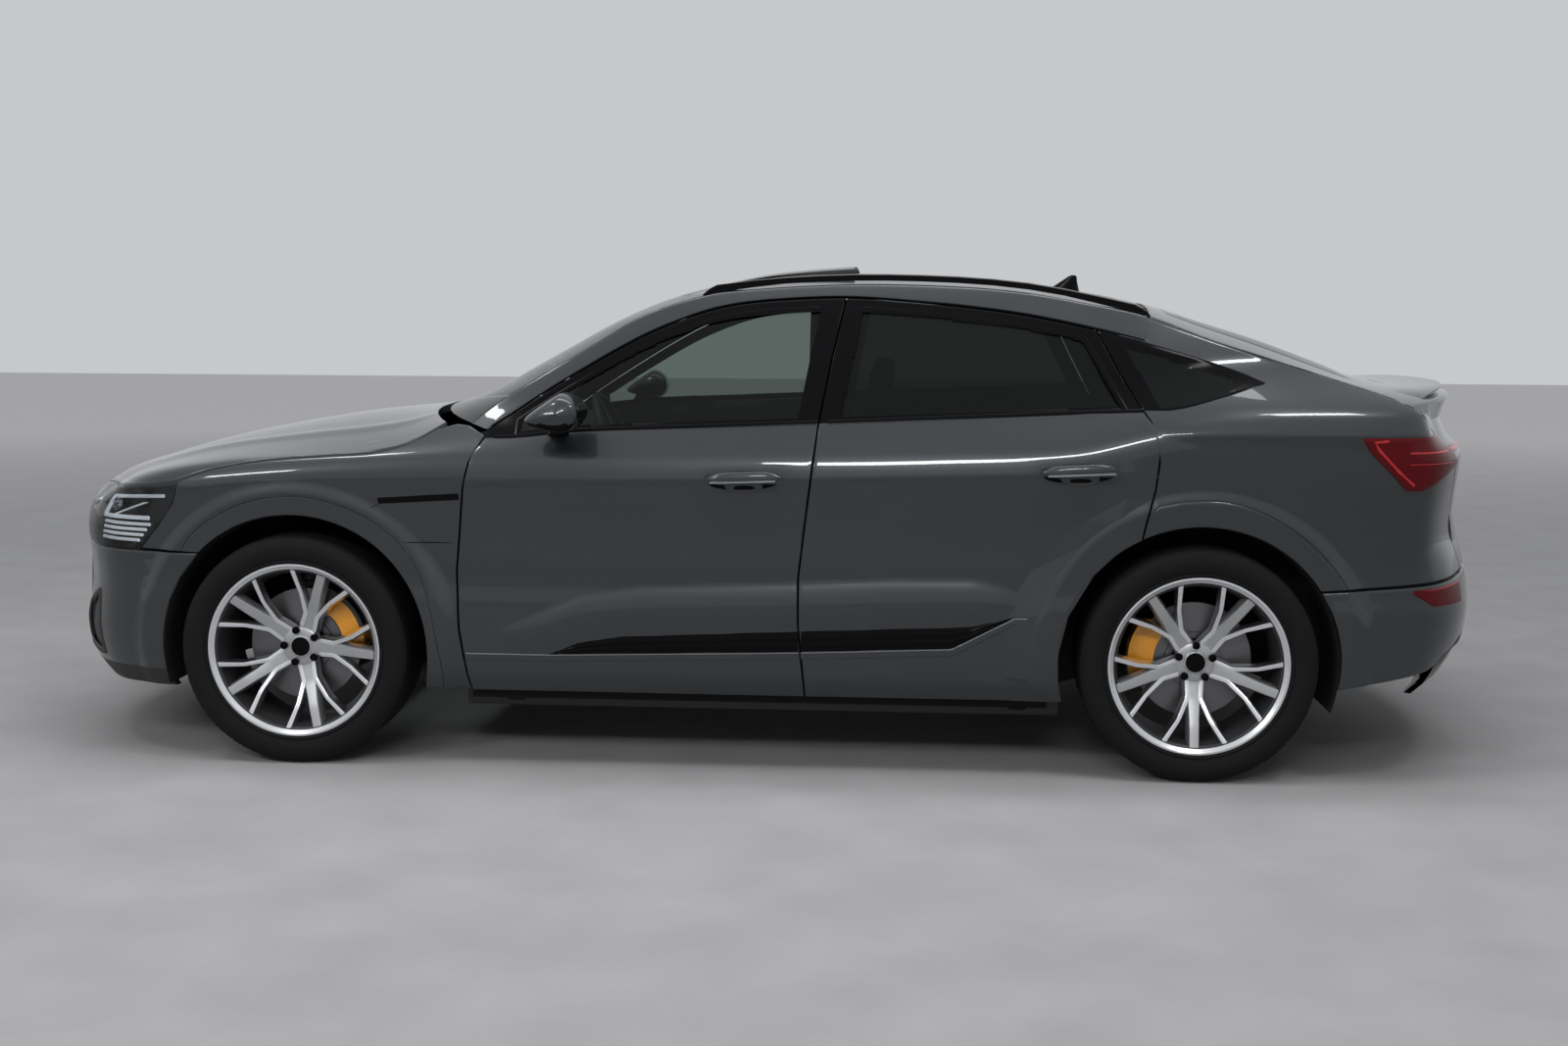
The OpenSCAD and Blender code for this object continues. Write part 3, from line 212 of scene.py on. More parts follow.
def glass_material(name, tint, dark, ior=1.5):
    """Thin tinted pane: the tint lets light straight through, the gloss lies on top."""
    m, nt, node, link = fresh(name)
    nt.nodes.remove(nt.nodes["Principled BSDF"])
    a, x = fill(node("MixShader"), {"Fac": dark}), node("MixShader")
    link(fill(node("BsdfTransparent"), {"Color": (*tint, 1)}).outputs[0], a.inputs[1])
    link(fill(node("BsdfDiffuse"), {"Color": (.01, .012, .012, 1)}).outputs[0], a.inputs[2])
    link(fill(node("Fresnel"), {"IOR": ior}).outputs[0], x.inputs["Fac"])
    link(a.outputs[0], x.inputs[1])
    link(fill(node("BsdfGlossy"), {"Roughness": .015}).outputs[0], x.inputs[2])
    link(x.outputs[0], nt.nodes["Material Output"].inputs["Surface"])
    return m


PAINT = new_material("paint", (.019, .0225, .026), .32, .35, .85, .05, 900)
BLACK = new_material("black_gloss", (.003, .003, .0035), .14, 0, 0, .03, 300)
GRAIN = new_material("black_grain", (.018, .018, .019), .6, 0, 0, .08, 700, .25)
LINER = new_material("liner", (.012, .012, .012), .9, 0, 0, .05, 150, .3)
# Satin silver: the grille's bars, and also thin lines that are painted highlights on the door blades and grips
SILVER_AND_PAINTED_HIGHLIGHT = new_material("satin_silver_and_painted_highlight", (.42, .43, .45), .3, .9, 0, .06, 400)
MACHINED = new_material("machined", (.80, .81, .83), .30, 1.0, .3, .06, 500)
WHEEL_GREY = new_material("wheel_grey", (.46, .465, .475), .36, .85, .4, .05, 500)
WHEEL_DARK = new_material("wheel_dark", (.03, .03, .032), .45, .4, 0, .06, 300)
STEEL = new_material("steel", (.17, .17, .175), .42, .95, 0, .1, 250)
IRON = new_material("iron", (.05, .05, .052), .6, .5, 0, .12, 200, .2)
RUBBER = new_material("rubber", (.0075, .0075, .008), .78, 0, 0, .08, 260, .2)
ORANGE = new_material("orange", (.75, .30, .012), .34, 0, .5, .05, 200)
LEATHER = new_material("leather", (.02, .02, .021), .5, 0, 0, .08, 420, .5)
SOFT = new_material("soft_black", (.022, .022, .023), .65, 0, 0, .08, 600, .3)
RED = new_material("red_lens", (.085, .001, .003), .10, 0, .1, .03, 200)
# Glowing red: the tail lamps' bars, and also a line on each rear reflector that is a painted glint
RED_LIT_AND_PAINTED_GLINT = new_material("red_bar_and_painted_glint", (.36, .006, .011), .2, 0, .2, .03, 200, 0, .12)
WHITE_LIT = new_material("light_bar", (.85, .88, .92), .3, 0, .4, .05, 300, 0, .25)
CHROME = new_material("chrome", (.7, .71, .73), .08, 1.0, 0, .02, 200)
CLEAR = glass_material("clear_glass", (.44, .50, .47), .06, 1.38)
PRIVACY = glass_material("privacy_glass", (.13, .135, .13), .30, 1.30)
PANE_DARK = new_material("dark_pane", (.004, .005, .005), .05, 0, 0, .01, 40)
for m in (BLACK, PANE_DARK, RUBBER, LINER, RED):
    fill(m.node_tree.nodes["Principled BSDF"], {"Specular IOR Level": .07 if m is BLACK else .16})
LENS = glass_material("lens", (.88, .90, .92), .02)


def mesh(name, verts, faces, mats, body, index=None, sharp=35):
    me = bpy.data.meshes.new(name)
    me.from_pydata([tuple(v) for v in np.asarray(verts) / 1000.0], [], [tuple(int(i) for i in f) for f in faces])
    for m in mats if isinstance(mats, (list, tuple)) else [mats]:
        me.materials.append(m)
    if index is not None:
        me.polygons.foreach_set("material_index", np.asarray(index, dtype=np.int32))
    me.validate()
    me.shade_smooth()
    me.set_sharp_from_angle(angle=math.radians(sharp))
    ob = bpy.data.objects.new(name, me)
    bpy.context.scene.collection.objects.link(ob)
    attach(ob, body)
    return ob


def quads(r, c, close=False):
    a = (np.arange(r - 1)[:, None] * c + np.arange(c - 1)[None, :]).ravel()
    f = np.stack([a, a + 1, a + c + 1, a + c], -1)
    if close:
        b = np.arange(r - 1) * c + c - 1
        f = np.concatenate([f, np.stack([b, b - c + 1, b + 1, b + c], -1)])
    return f


def sheet(name, P, mats, body, flip=False, keep=None, index=None, close=False, sharp=35, slot=None):
    r, c = P.shape[:2]
    f = quads(r, c, close)
    if flip:
        f = f[:, ::-1]
    v = P.reshape(-1, 3)
    idx = None if index is None else index(v[f].mean(1))
    if keep is not None:
        k = keep(v[f].mean(1))
        f, idx = f[k], None if idx is None else idx[k]
    return mesh(name, v, f, mats, body, idx, sharp)


def both(make):
    """Left piece as made, right piece mirrored."""
    for s, tag in ((1, "left"), (-1, "right")):
        make(s, tag)


def flip_y(P, s):
    return P * np.array([1, s, 1])


def skin(name, P, s, mats, body, inward=False, **more):
    """A piece of the left side as made, or its mirror image."""
    return sheet(name, flip_y(P, s), mats, body, flip=(s < 0) != inward, **more)


def pts(*axes):
    return np.stack(np.broadcast_arrays(*axes), -1)


def circle(n):
    return span(0, 2 * math.pi, n, endpoint=False)


def unit(n, m):
    """Fractions along and across a patch."""
    return span(0, 1, n)[None, :], span(0, 1, m)[:, None]


def rim_of(i, j, length, height):
    """Distance from the nearest edge of a patch."""
    return np.minimum(np.minimum(i, 1 - i) * length, np.minimum(j, 1 - j) * height)


def rounded(n, length, r=3.0):
    """Fractions along an edge with a rounded end, and the depth at each."""
    e = np.array([0, .25, .6, 1.0]) * r / length
    inner = span(e[-1], 1 - e[-1], n)[1:-1]
    t = np.concatenate([[0], e, inner, 1 - e[::-1], [1]])
    soft = r * np.array([1, .42, .09, 0])
    d = np.concatenate([[18], soft, np.zeros(len(inner)), soft[::-1], [18]])
    return t, d


def patch(fn, nu, nv, lu, lv, proud=PROUD, middle=None):
    """Grid over (s, t) with rounded and turned-in edges; fn gives path, height and extra depth.
    The edge that meets its mirror image on the vehicle's middle stays flat."""
    s, ds = rounded(nu, lu)
    if middle == "start":
        ds[:5] = 0
    if middle == "end":
        ds[-5:] = 0
    t, dt = rounded(nv, lv)
    S, T = np.meshgrid(s, t)
    D = np.maximum(*np.meshgrid(ds, dt))
    u, z, extra = fn(S, T)
    return side(u, z, D + extra - proud)


# Doors
def door_fn(front, rear, low, high):
    def fn(s, t):
        u = mix(front(700.0), rear(700.0), s)
        for _ in range(4):
            z = mix(low(u), high(u), t)
            u = mix(front(z), rear(z), s)
        z = mix(low(u), high(u), t)
        return u, z, insert_depth(u, z) - door_form(u, z)
    return fn


def door_form(u, z):
    """Sculpture of the doors: a crease through the handles, and a swelling above the foot."""
    line = np.interp(u, [-953, 149, 967, 1200], [938, 962, 984, 990])
    over = z - line
    crease = 3.2 * np.where(over > 0, np.maximum(1 - over / 46, 0)**1.3, np.maximum(1 + over / 15, 0))
    for grip, _, _ in GRIPS.values():
        crease = crease * (1 - np.exp(-((u - grip) / 135)**6))
    top = np.interp(u, [-908, -750, -551, -353, 149, 440, 704, 890], [432, 491, 575, 604, 625, 640, 643, 590])
    low = insert_edges(u)[1] + 4
    q = np.clip((top - z) / np.maximum(top - low, 20), 0, 1)
    swell = 10 * np.sin(math.pi * q**.85) * ss((u + 900) / 260) * ss((870 - u) / 170)
    return crease * ss((RA - 170 - u) / 120) + swell


def insert_edges(u):
    top = np.interp(u, [INSERT_F, -560, -420, 149, 700, INSERT_R], [384, 424, 447, 474, 498, 530])
    bottom = np.interp(u, [INSERT_F, 149, 640, INSERT_R], [381, 404, 424, 527])
    return bottom, top


def insert_depth(u, z):
    """The blade at the foot of the doors: its black face lies back from the skin."""
    b, t = insert_edges(u)
    inside = ss((z - b) / 8) * ss((t - z) / 8) * ss((u + 640) / 40) * ss((830 - u) / 40)
    return 1.4 * inside


def offset(table, d):
    return lambda z: linear(table, z) + d


f_front, f_rear, r_front = offset(FRONT_CUT, DOOR_GAP), offset(MID_CUT, -DOOR_GAP), offset(MID_CUT, DOOR_GAP)


def r_rear(z):
    return rear_edge(np.asarray(z, float)) - np.where(np.asarray(z) < 780, 0, DOOR_GAP)


def belt(u):
    return curve(BELT, u)


def head(u):
    return np.maximum(curve(TOP, u) - DOOR_GAP, belt(u) + 18)


def window(b0, b1, t0, t1, n=40, d=0.0):
    u = span(b0 + d, b1 - d, n)
    w = span(t0 + d, t1 - d, n)
    return pts(u, curve(BELT, u) + 12 + d), pts(w, curve(TOP, w) - 40 - d)


def mid(z):
    return float(linear(MID_CUT, z))


def aft(z):
    return float(rear_edge(np.array(z)))


WINDOWS = {"front": (FA + 745, mid(1150) - 66, FA + 745, mid(1490) - 66),
           "rear": (mid(1150) + 62, aft(1190.) - 58, mid(1490) + 62, aft(1410.) - 58),
           "quarter": (aft(1190.) + 60, RA + 92, aft(1395.) + 74, RA + 92)}


def inside(poly, q):
    x, y = q[:, 0], q[:, 1]
    r = np.zeros(len(q), bool)
    for (x0, y0), (x1, y1) in zip(poly, np.roll(poly, -1, 0)):
        c = ((y0 > y) != (y1 > y)) & (x < (x1 - x0) * (y - y0) / (y1 - y0 + 1e-9) + x0)
        r ^= c
    return r


def ring_of(name, d):
    lo, hi = window(*WINDOWS[name], 40, d)
    return np.concatenate([lo, hi[::-1]])


def pane(name, s, body, material, tag):
    lo, hi = window(*WINDOWS[name], 40, -3)
    t = span(0, 1, 14)[:, None, None]
    q = lo[None] * (1 - t) + hi[None] * t
    return skin(name + "_pane_" + tag, side(q[..., 0], q[..., 1], 5.0), s, material, body)


def strip(name, path, width, rise, material, body, s, closed=False, off=0.0, n=6):
    """A narrow crowned moulding along (u, z) points on the side."""
    path = np.asarray(path, float)
    if closed:
        tan = np.roll(path, -1, 0) - np.roll(path, 1, 0)
    else:
        tan = np.gradient(path, axis=0)
    tan /= np.linalg.norm(tan, axis=1)[:, None] + 1e-9
    nor = np.stack([-tan[:, 1], tan[:, 0]], -1)
    rows = []
    for k in range(n + 1):
        a = -1 + 2 * k / n
        q = path + nor * a * width / 2
        rows.append(side(q[:, 0], q[:, 1], off + 2 - rise * math.sqrt(max(1 - a**4, 0))))
    P = np.stack(rows, 1)
    if closed:
        P = np.concatenate([P, P[:1]])
    return skin(name, P, s, material, body, True)


def door(kind, s, tag):
    body = "%s_door_%s" % (kind, tag)
    front = kind == "front"
    fr, re = (f_front, f_rear) if front else (r_front, r_rear)
    P = patch(door_fn(fr, re, lambda u: SILL + 0 * u, belt), 90, 110, 1000, 850)
    skin(body + "_skin", P, s, PAINT, body, slot="paint")
    u0, u1 = (INSERT_F, mid(430) - 4) if front else (mid(430) + 4, INSERT_R)
    a, t = unit(90, 13)
    u = mix(u0, u1, a) + 0 * t
    b, h = insert_edges(u)
    d = -3.6 + 3.4 * (1 - ss(np.minimum(t, 1 - t) * 7)) - 1.2 * np.cos(t * 6 * math.pi)
    skin(body + "_insert", side(u, mix(b, h, t), d), s, BLACK, body, slot="black_trim")
    us = span(fr(370.) + 6, u1, 90) if front else span(u0, min(u1 + 40, float(re(440.)) - 30), 90)
    b = insert_edges(us)[0]
    strip(body + "_blade", pts(us, b - 13), 27, 7, PAINT, body, s)
    # The silver line along the insert's foot is a painted highlight on the blade's edge
    strip(body + "_blade_painted_highlight", pts(us, b - 1), 4.5, 10, SILVER_AND_PAINTED_HIGHLIGHT, body, s)
    poly = ring_of(kind, 4)
    P = patch(door_fn(fr, re, lambda u: belt(u) + 1.5, head), 120, 60, 1000, 300, 2.6)
    skin(body + "_frame", P, s, BLACK, body, keep=lambda c: ~inside(poly, c[:, [0, 2]]), slot="black_trim")
    strip(body + "_surround", ring_of(kind, -6), 22, 5, BLACK, body, s, closed=True)
    us = span(fr(1100.) + 30, re(1170.) - 6, 50)
    strip(body + "_belt", pts(us, belt(us) + 4), 16, 6, BLACK, body, s)
    glass = pane(kind, s, body, CLEAR if front else PRIVACY, tag)
    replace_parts(glass, "%s_glass_%s" % (kind, tag))


def doors(s, tag):
    for kind in ("front", "rear"):
        door(kind, s, tag)


both(doors)


# Fenders and quarter panels: rays from the arch over the flare's seam to the outer line
def resample(points, n):
    p = np.asarray(points, float)
    l = np.concatenate([[0], np.cumsum(np.linalg.norm(np.diff(p, axis=0), axis=1))])
    t = span(0, l[-1], n)
    t = np.sort(np.concatenate([t, l[1:-1]]))
    return np.stack([np.interp(t, l, p[:, 0]), np.interp(t, l, p[:, 1])], -1), t, l


def arch_panel(x, angles, out, seam, n, middle=None, flush=None):
    o, t, l = resample(out, n)
    a = np.radians(np.interp(t, l, angles))
    arch = pts(x - ARCH * np.cos(a), ZA + ARCH * np.sin(a))
    far = np.linalg.norm(o - arch, axis=1)
    flare = np.minimum(seam - ARCH, far * .8)[:, None]
    ray = (o - arch) / (far[:, None] + 1e-9)
    m = arch + ray * flare
    rows = [(mix(arch, m, q), d) for q, d in ((0, 30), (0, 4), (.02, 1.6), (.06, .3), (.12, 0))]
    rows += [(mix(arch, m, q), 0) for q in span(.2, .9, 7)]
    rows += [(m + ray * e, d) for e, d in ((-5, 0), (-2.5, .6), (-1, 2.6), (1, 2.6), (2.5, .6), (5, 0))]
    start = m + ray * 5
    if middle is not None:
        mm = pts(np.interp(t, l, middle[:, 0]), np.interp(t, l, middle[:, 1]))
        rows += [(mix(start, mm, q), 0) for q in span(.06, 1, 22)]
        start = mm
    rows += [(mix(start, o, q), 0) for q in span(.05, .97, 26)]
    last = np.linalg.norm(o - start, axis=1)[:, None] + 1e-9
    rows += [(o - (o - start) / last * e, d) for e, d in ((2.0, .2), (1.0, .8), (0, 3), (0, 12))]
    Q = np.stack([q for q, _ in rows])
    D = np.array([float(d) for _, d in rows])[:, None] + np.zeros(Q.shape[1])
    if flush:
        D[-4:, (t > l[flush[0]] - 2) & (t < l[flush[1]] + 2)] = 0
        over = Q[..., 1] - SHOULDER_LINE
        rise = 7.5 * np.where(over > 0, np.maximum(1 - over / 62, 0)**1.6, np.maximum(1 + over / 26, 0)**1.3)
        D = D - rise * ss((Q[..., 0] - RA + 170) / 150) * ss((TAIL - 150 - Q[..., 0]) / 120)
    ends = np.full(Q.shape[1], 0.0)
    ends[0] = ends[-1] = 10
    return side(Q[..., 0], Q[..., 1], D + ends - PROUD)


FENDER_OUT = ([[NOSE + 414, 693], [NOSE + 490, 780], [NOSE + 548, 860]]
              + [[u, float(curve(BONNET, u)) - 1.5] for u in span(NOSE + 566, FA + 470, 24)]
              + [[FA + 530, 1118], [FA + 578, 1114]]
              + [[float(linear(FRONT_CUT, z)) - 2.5, z] for z in (1085, 1060, 1010, 925, 861, 656, 465, SILL)])
FENDER_ANGLE = np.interp(np.arange(len(FENDER_OUT)), [0, 1, 2, 3, 26, 27, 28, 29, 30, 31, 32, 33, 34, 35, 36],
                         [44.9, 50, 57, 64, 125, 132, 138, 143, 147, 151, 157, 163, 174, 185, 196.5])
QUARTER_OUT = ([[float(linear(REAR_CUT, z)) + 2.5, z] for z in (850, 940, 1060, 1115, 1170, 1240, 1316, 1430)]
               + [[u, float(curve(TOP, u)) + 2.5] for u in (RA - 250, RA - 172)]
               + [[RA - 169.6, float(curve(TOP, RA - 170)) + 3], [RA - 165.8, float(curve(EDGE, RA - 166)) - 2]]
               + [[u, float(curve(EDGE, u)) - 1.5] for u in (RA + 48, RA + 170, RA + 300, RA + 430, RA + 548)]
               + [[float(linear(TAIL_CUT, z)) - 2.5, z] for z in (1190, 1150, 1110, 1000, 850, 740, 652)])
QUARTER_ANGLE = [64.9, 66.8, 68.8, 70.3, 72, 74, 76, 79, 82, 85, 86.2, 88.5, 94, 97, 101, 105, 108.5, 112, 116, 119,
                 125, 133, 140, 147.3]


def quarter_mid(i, a, o):
    """Where ray i of the quarter panel crosses the shoulder's crease."""
    if 3 < i < 18:
        return [mix(RA - 130, RA + 470, (i - 4) / 13), SHOULDER_LINE]
    arch = np.array([RA - ARCH * math.cos(math.radians(a)), ZA + ARCH * math.sin(math.radians(a))])
    return list(mix(arch, np.array(o), .5 if i < 4 else .6))


QUARTER_MID = np.array([quarter_mid(i, a, o) for i, (a, o) in enumerate(zip(QUARTER_ANGLE, QUARTER_OUT))])
LAMP_NOTCH = np.array([[RA + 488, 1104], [RA + 518, 1060], [RA + 640, 946], [RA + 700, 946], [2262, 1016],
                       [TAIL + 200, 1030], [TAIL + 200, 1104]])


def wings(s, tag):
    P = arch_panel(FA, FENDER_ANGLE, FENDER_OUT, SEAM_F, 150)
    fenders.append(skin("fender_skin_" + tag, P, s, PAINT, "body", True, slot="paint"))
    P = arch_panel(RA, QUARTER_ANGLE, QUARTER_OUT, SEAM_R, 190, QUARTER_MID, (10, 11))
    poly = ring_of("quarter", 2)

    def keep(c):
        return ~(inside(poly, c[:, [0, 2]]) | inside(LAMP_NOTCH, c[:, [0, 2]]))
    quarters.append(skin("quarter_skin_" + tag, P, s, PAINT, "body", True, keep=keep, slot="paint"))
    a, t = unit(60, 24)
    u = np.full((24, 60), RA - 100.0)
    for _ in range(4):
        z = mix(curve(BELT, u) + 2, curve(TOP, u) + 1, t)
        u = mix(rear_edge(z) + 3, RA + 198, a)
    z = mix(curve(BELT, u) + 2, curve(TOP, u) + 1, t)
    rim = rim_of(a, t, 500, curve(TOP, u) - curve(BELT, u))
    panes.append(skin("quarter_pane_" + tag, side(u, z, 2.5 * (1 - ss(rim / 7)) - 4.2), s, [BLACK, PANE_DARK], "body",
                      index=lambda c: inside(ring_of("quarter", -4), c[:, [0, 2]])))


panes, fenders, quarters = [], [], []
both(wings)
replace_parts(fenders[0], "fenders")
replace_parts(quarters[0], "quarter_panels")
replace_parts(panes[0], "quarter_glasses")


# Upper body: rows across from edge to edge
WIDE = np.sin(span(-1, 1, 61) * math.pi / 2)


def upper_row(ue, xc, inset, p, q, up=0.0):
    e = side(ue, curve(EDGE, ue) + up)
    y = -e[1] - inset
    h = np.abs(WIDE)
    zc = float(curve(CROWN, xc))
    return np.stack([e[0] + (xc - e[0]) * (1 - h**q), WIDE * y, e[2] + (zc - e[2]) * (1 - h**p)], -1)


def edge_u(i):
    return mix(FA + 579, RA - 166, i / 20)


def turned(P, r=3.0, deep=14.0, proud=1.5):
    """Rounds and turns in the border of a grid that faces up."""
    def border(A):
        a, b = A[:1], A[1:2]
        step = (b - a) / (np.linalg.norm(b - a, axis=-1, keepdims=True) + 1e-9)
        return np.concatenate([a + [0, 0, -deep], a + [0, 0, -r], a + step * r * .25 + [0, 0, -r * .4],
                               a + step * r + [0, 0, 0], A[1:]])
    P = P + np.array([0, 0, proud])
    for _ in range(2):
        P = border(P)
        P = border(P[::-1])[::-1]
        P = P.transpose(1, 0, 2)
    return P


screen = np.stack([upper_row(edge_u(i), mix(FA + 362, FA + 1165, i / 7), 1.0, 2.2, 2.4)
                   for i in span(0, 7, 40)])
pane_ws = sheet("windscreen_pane", screen + np.array([0, 0, .8]), CLEAR, "body", flip=True)
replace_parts(pane_ws, "windscreen")
roof = np.stack([upper_row(edge_u(i), mix(FA + 1165, RA - 150, (i - 7) / 13), 1.5, 2.4, 2.4)
                 for i in span(7.03, 20, 70)])


def roof_keep(c):
    """Opens the roof over the sunroof and in the CAD's notches for the tailgate's hinge arms."""
    across = np.abs(c[:, 1])
    sunroof = (c[:, 0] > SUNROOF_F) & (c[:, 0] < SUNROOF_R) & (across < SUNROOF_HALF)
    notch = (c[:, 0] > NOTCH_F) & (across > NOTCH_IN) & (across < NOTCH_OUT)
    return ~(sunroof | notch)


roof_grid = turned(roof)


def dark_roof(c):
    """The glazed middle of the roof, bounded by the grid's own rows and columns."""
    g = c.reshape(roof_grid.shape[0] - 1, roof_grid.shape[1] - 1, 3)
    across = np.abs(g[..., 1])
    ahead = g[:, g.shape[1] // 2, 0] < RA - 225
    return ((across / across.max(1, keepdims=True) < .75) & ahead[:, None]).ravel()


sheet("roof_skin", roof_grid, [PAINT, BLACK], "body", flip=True, keep=roof_keep, slot="paint", index=dark_roof)


def deck_edge(t):
    return mix(RA - 157, TAIL - 352, t)


def deck_mid(t):
    return mix(RA - 125, TAIL - 72, t)


deck = np.stack([upper_row(deck_edge(t), deck_mid(t), 1.5, 2.6, mix(2.4, 2.1, t), 3) for t in span(0, 1, 60)])


def glass_zone(c, d=0.0):
    w = np.interp(c[:, 0], [RA - 60, RA + 520], [520, 590])
    return (c[:, 0] > RA - 60 + d) & (c[:, 0] < RA + 520 - d) & (np.abs(c[:, 1]) < w - d)


sheet("tailgate_skin", turned(deck), PAINT, "tailgate", flip=True, keep=lambda c: ~glass_zone(c, 6), slot="paint")


def on_deck(x, y):
    """Height of the tailgate's upper skin over (x, y), by halving along its rows."""
    lo, hi = np.zeros_like(x), np.ones_like(x)

    def at(t):
        e = side(deck_edge(t), curve(EDGE, deck_edge(t)) + 3)
        xc = deck_mid(t)
        h = np.minimum(np.abs(y / (-e[..., 1] - 1.5)), 1)
        return (e[..., 0] + (xc - e[..., 0]) * (1 - h**mix(2.4, 2.1, t)),
                e[..., 2] + (curve(CROWN, xc) - e[..., 2]) * (1 - h**2.6))
    for _ in range(26):
        m = (lo + hi) / 2
        under = at(m)[0] < x
        lo, hi = np.where(under, m, lo), np.where(under, hi, m)
    return at((lo + hi) / 2)[1]


gx, gy = np.meshgrid(span(RA - 76, RA + 536, 60), span(-1, 1, 71), indexing="ij")
gy = gy * np.interp(gx, [RA - 60, RA + 520], [534, 604]) * (1 - .02 * ss((RA - 20 - gx) / 60))
rim = np.minimum(np.minimum(gx - gx.min(), gx.max() - gx), np.abs(gy).max(1, keepdims=True) - np.abs(gy))
gz = on_deck(gx, gy) + 1.5 + 2.2 * ss(rim / 6)
rear = sheet("rear_pane", np.stack([gx, gy, gz], -1), [PRIVACY, PANE_DARK], "tailgate", flip=True,
             index=lambda c: (~glass_zone(c, 22)))
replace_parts(rear, "rear_window")

SUN_X = span(SUNROOF_F + .5, SUNROOF_R - .5, 24)
SUN_Y = span(.5 - SUNROOF_HALF, SUNROOF_HALF - .5, 41)
sx, sy = np.meshgrid(SUN_X, SUN_Y, indexing="ij")
sz = curve(CROWN, sx) - 42 * (np.abs(sy) / 680)**2.4 + 32 * (sx - SUN_X[0]) / 469 - .5
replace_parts(sheet("sunroof_pane", np.stack([sx, sy, sz], -1), BLACK, "body", flip=True), "sunroof_glass")


def bonnet_grid(nr=70, nc=41):
    us = np.concatenate([span(NOSE + 558, NOSE - 160, nc * 2 // 3),
                         span(NOSE - 160, NOSE_MID, nc // 3 + 2)[1:]])
    f0 = side(us[0], 930.)
    brow = side(us, curve(BONNET_FRONT, us) + 5)
    fc = side(us[-1], 875.)
    h = brow[:, 1] / f0[1]
    a = (brow[:, 0] - f0[0]) / (fc[0] - f0[0])
    b = (brow[:, 2] - f0[2]) / (fc[2] - f0[2])
    rows = []
    for t in np.concatenate([span(0, .12, 16), span(.12, 1, nr - 15)[1:]]):
        ue = mix(NOSE + 558, FA + 494, t)
        e = side(ue, curve(BONNET, ue) + 5)
        xc = mix(fc[0], FA + 322, t)
        zc = fc[2] if t == 0 else max(float(curve(CROWN, xc)), fc[2] + 8)
        s, r = ss(t * 1.6), ss(t * 4)
        # two raised lines run back from the lamps
        ridge = 7 * np.exp(-((np.abs(h) - mix(.60, .70, t)) / .05)**2) * ss(t * 3) * ss((1.06 - t) * 6)
        rows.append(np.stack([e[0] + (xc - e[0]) * mix(a, 1 - np.abs(h)**2.2, s), e[1] * h,
                              e[2] + (zc - e[2]) * mix(b, 1 - np.abs(h)**2.2, r) + ridge], -1))
    P = np.stack(rows)
    return np.concatenate([P, (P * [1, -1, 1])[:, ::-1][:, 1:]], 1)


sheet("bonnet_skin", turned(bonnet_grid()), PAINT, "bonnet", slot="paint")

# Roof sides
roof_u = span(0, 20, 110)
low_u = mix(FA + 640, RA - 170, roof_u / 20)
q0 = pts(low_u, curve(TOP, low_u) + 2.5)
q1 = pts(edge_u(roof_u), curve(EDGE, edge_u(roof_u)))
rows = []
for t, d in ((0, 14), (0, 2.5), (.04, .6), (.1, 0), (.3, 0), (.5, 0), (.7, 0), (.9, 0), (.96, .6), (1, 2.5), (1, 14)):
    q = mix(q0, q1, t)
    rows.append(side(q[:, 0], q[:, 1], d - PROUD))
RS = np.stack(rows)
# sections of the rails' ends: station, shift or heights
RAIL_TIP = [(-141, 0, 1547.8, 1575.2), (-160, -1.6, 1544.6, 1566), (-176, -3, 1542, 1554.5), (-189, -4.1, 1540, 1543),
            (-189.5, -4.1, 1540, 1540.3)]
RAIL_END = [(1219, (1489, 1493.5, 1521, 1516.6)), (1243, (1485, 1489.5, 1510, 1505.6)),
            (1259, (1482, 1486.5, 1498, 1494)), (1270, (1479.5, 1484, 1487, 1483)),
            (1270.5, (1479.5, 1484, 1484.2, 1479.7))]


def sides(s, tag):
    roof_skins.append(skin("roof_side_skin_" + tag, RS, s, PAINT, "body", slot="paint"))
    uu = span(FA + 650, RA - 175, 110)
    strip("roof_drip_" + tag, pts(uu, curve(TOP, uu) + 6), 9, 4, BLACK, "body", s)
    # the rail's ends run down onto the roof
    P = np.stack([pts(x, np.array([-659.6, -632, -632, -659.6]) + y, [a, a, b, b]) for x, y, a, b in RAIL_TIP])
    skin("rail_tip_" + tag, P, s, BLACK, "body", True, close=True, slot="black_trim")
    P = np.stack([pts(float(x), [-709.4, -682.0, -682.0, -709.4], z) for x, z in RAIL_END])
    skin("rail_end_" + tag, P, s, BLACK, "body", close=True, slot="black_trim")


roof_skins = []
both(sides)
# aerial fin on the roof: rings that close at the top
fin, b = [], circle(32)
cc, cs = np.cos(b), np.sin(b)
for k, soft in ((0, 1), (.12, 1), (.3, 1), (.5, 1), (.7, 1), (.86, 1), (.95, 1), (1.0, .55), (1.0, .02)):
    front, back, half = mix(984, 1074, k), mix(1106, 1100, k), mix(25, 17, k)
    cx, rx = (front + back) / 2, (back - front) / 2
    fin.append(pts(cx + rx * soft * np.sign(cc) * np.abs(cc)**.5, half * soft * np.sign(cs) * np.abs(cs)**.6,
                   mix(1563 - .13 * (cx - 1045), 1621.5, k) + (1.5 if soft < 1 else 0)))
sheet("aerial_fin", np.stack(fin), BLACK, "body", close=True, slot="black_trim", sharp=50)
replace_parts(roof_skins[0], "roof_sides")
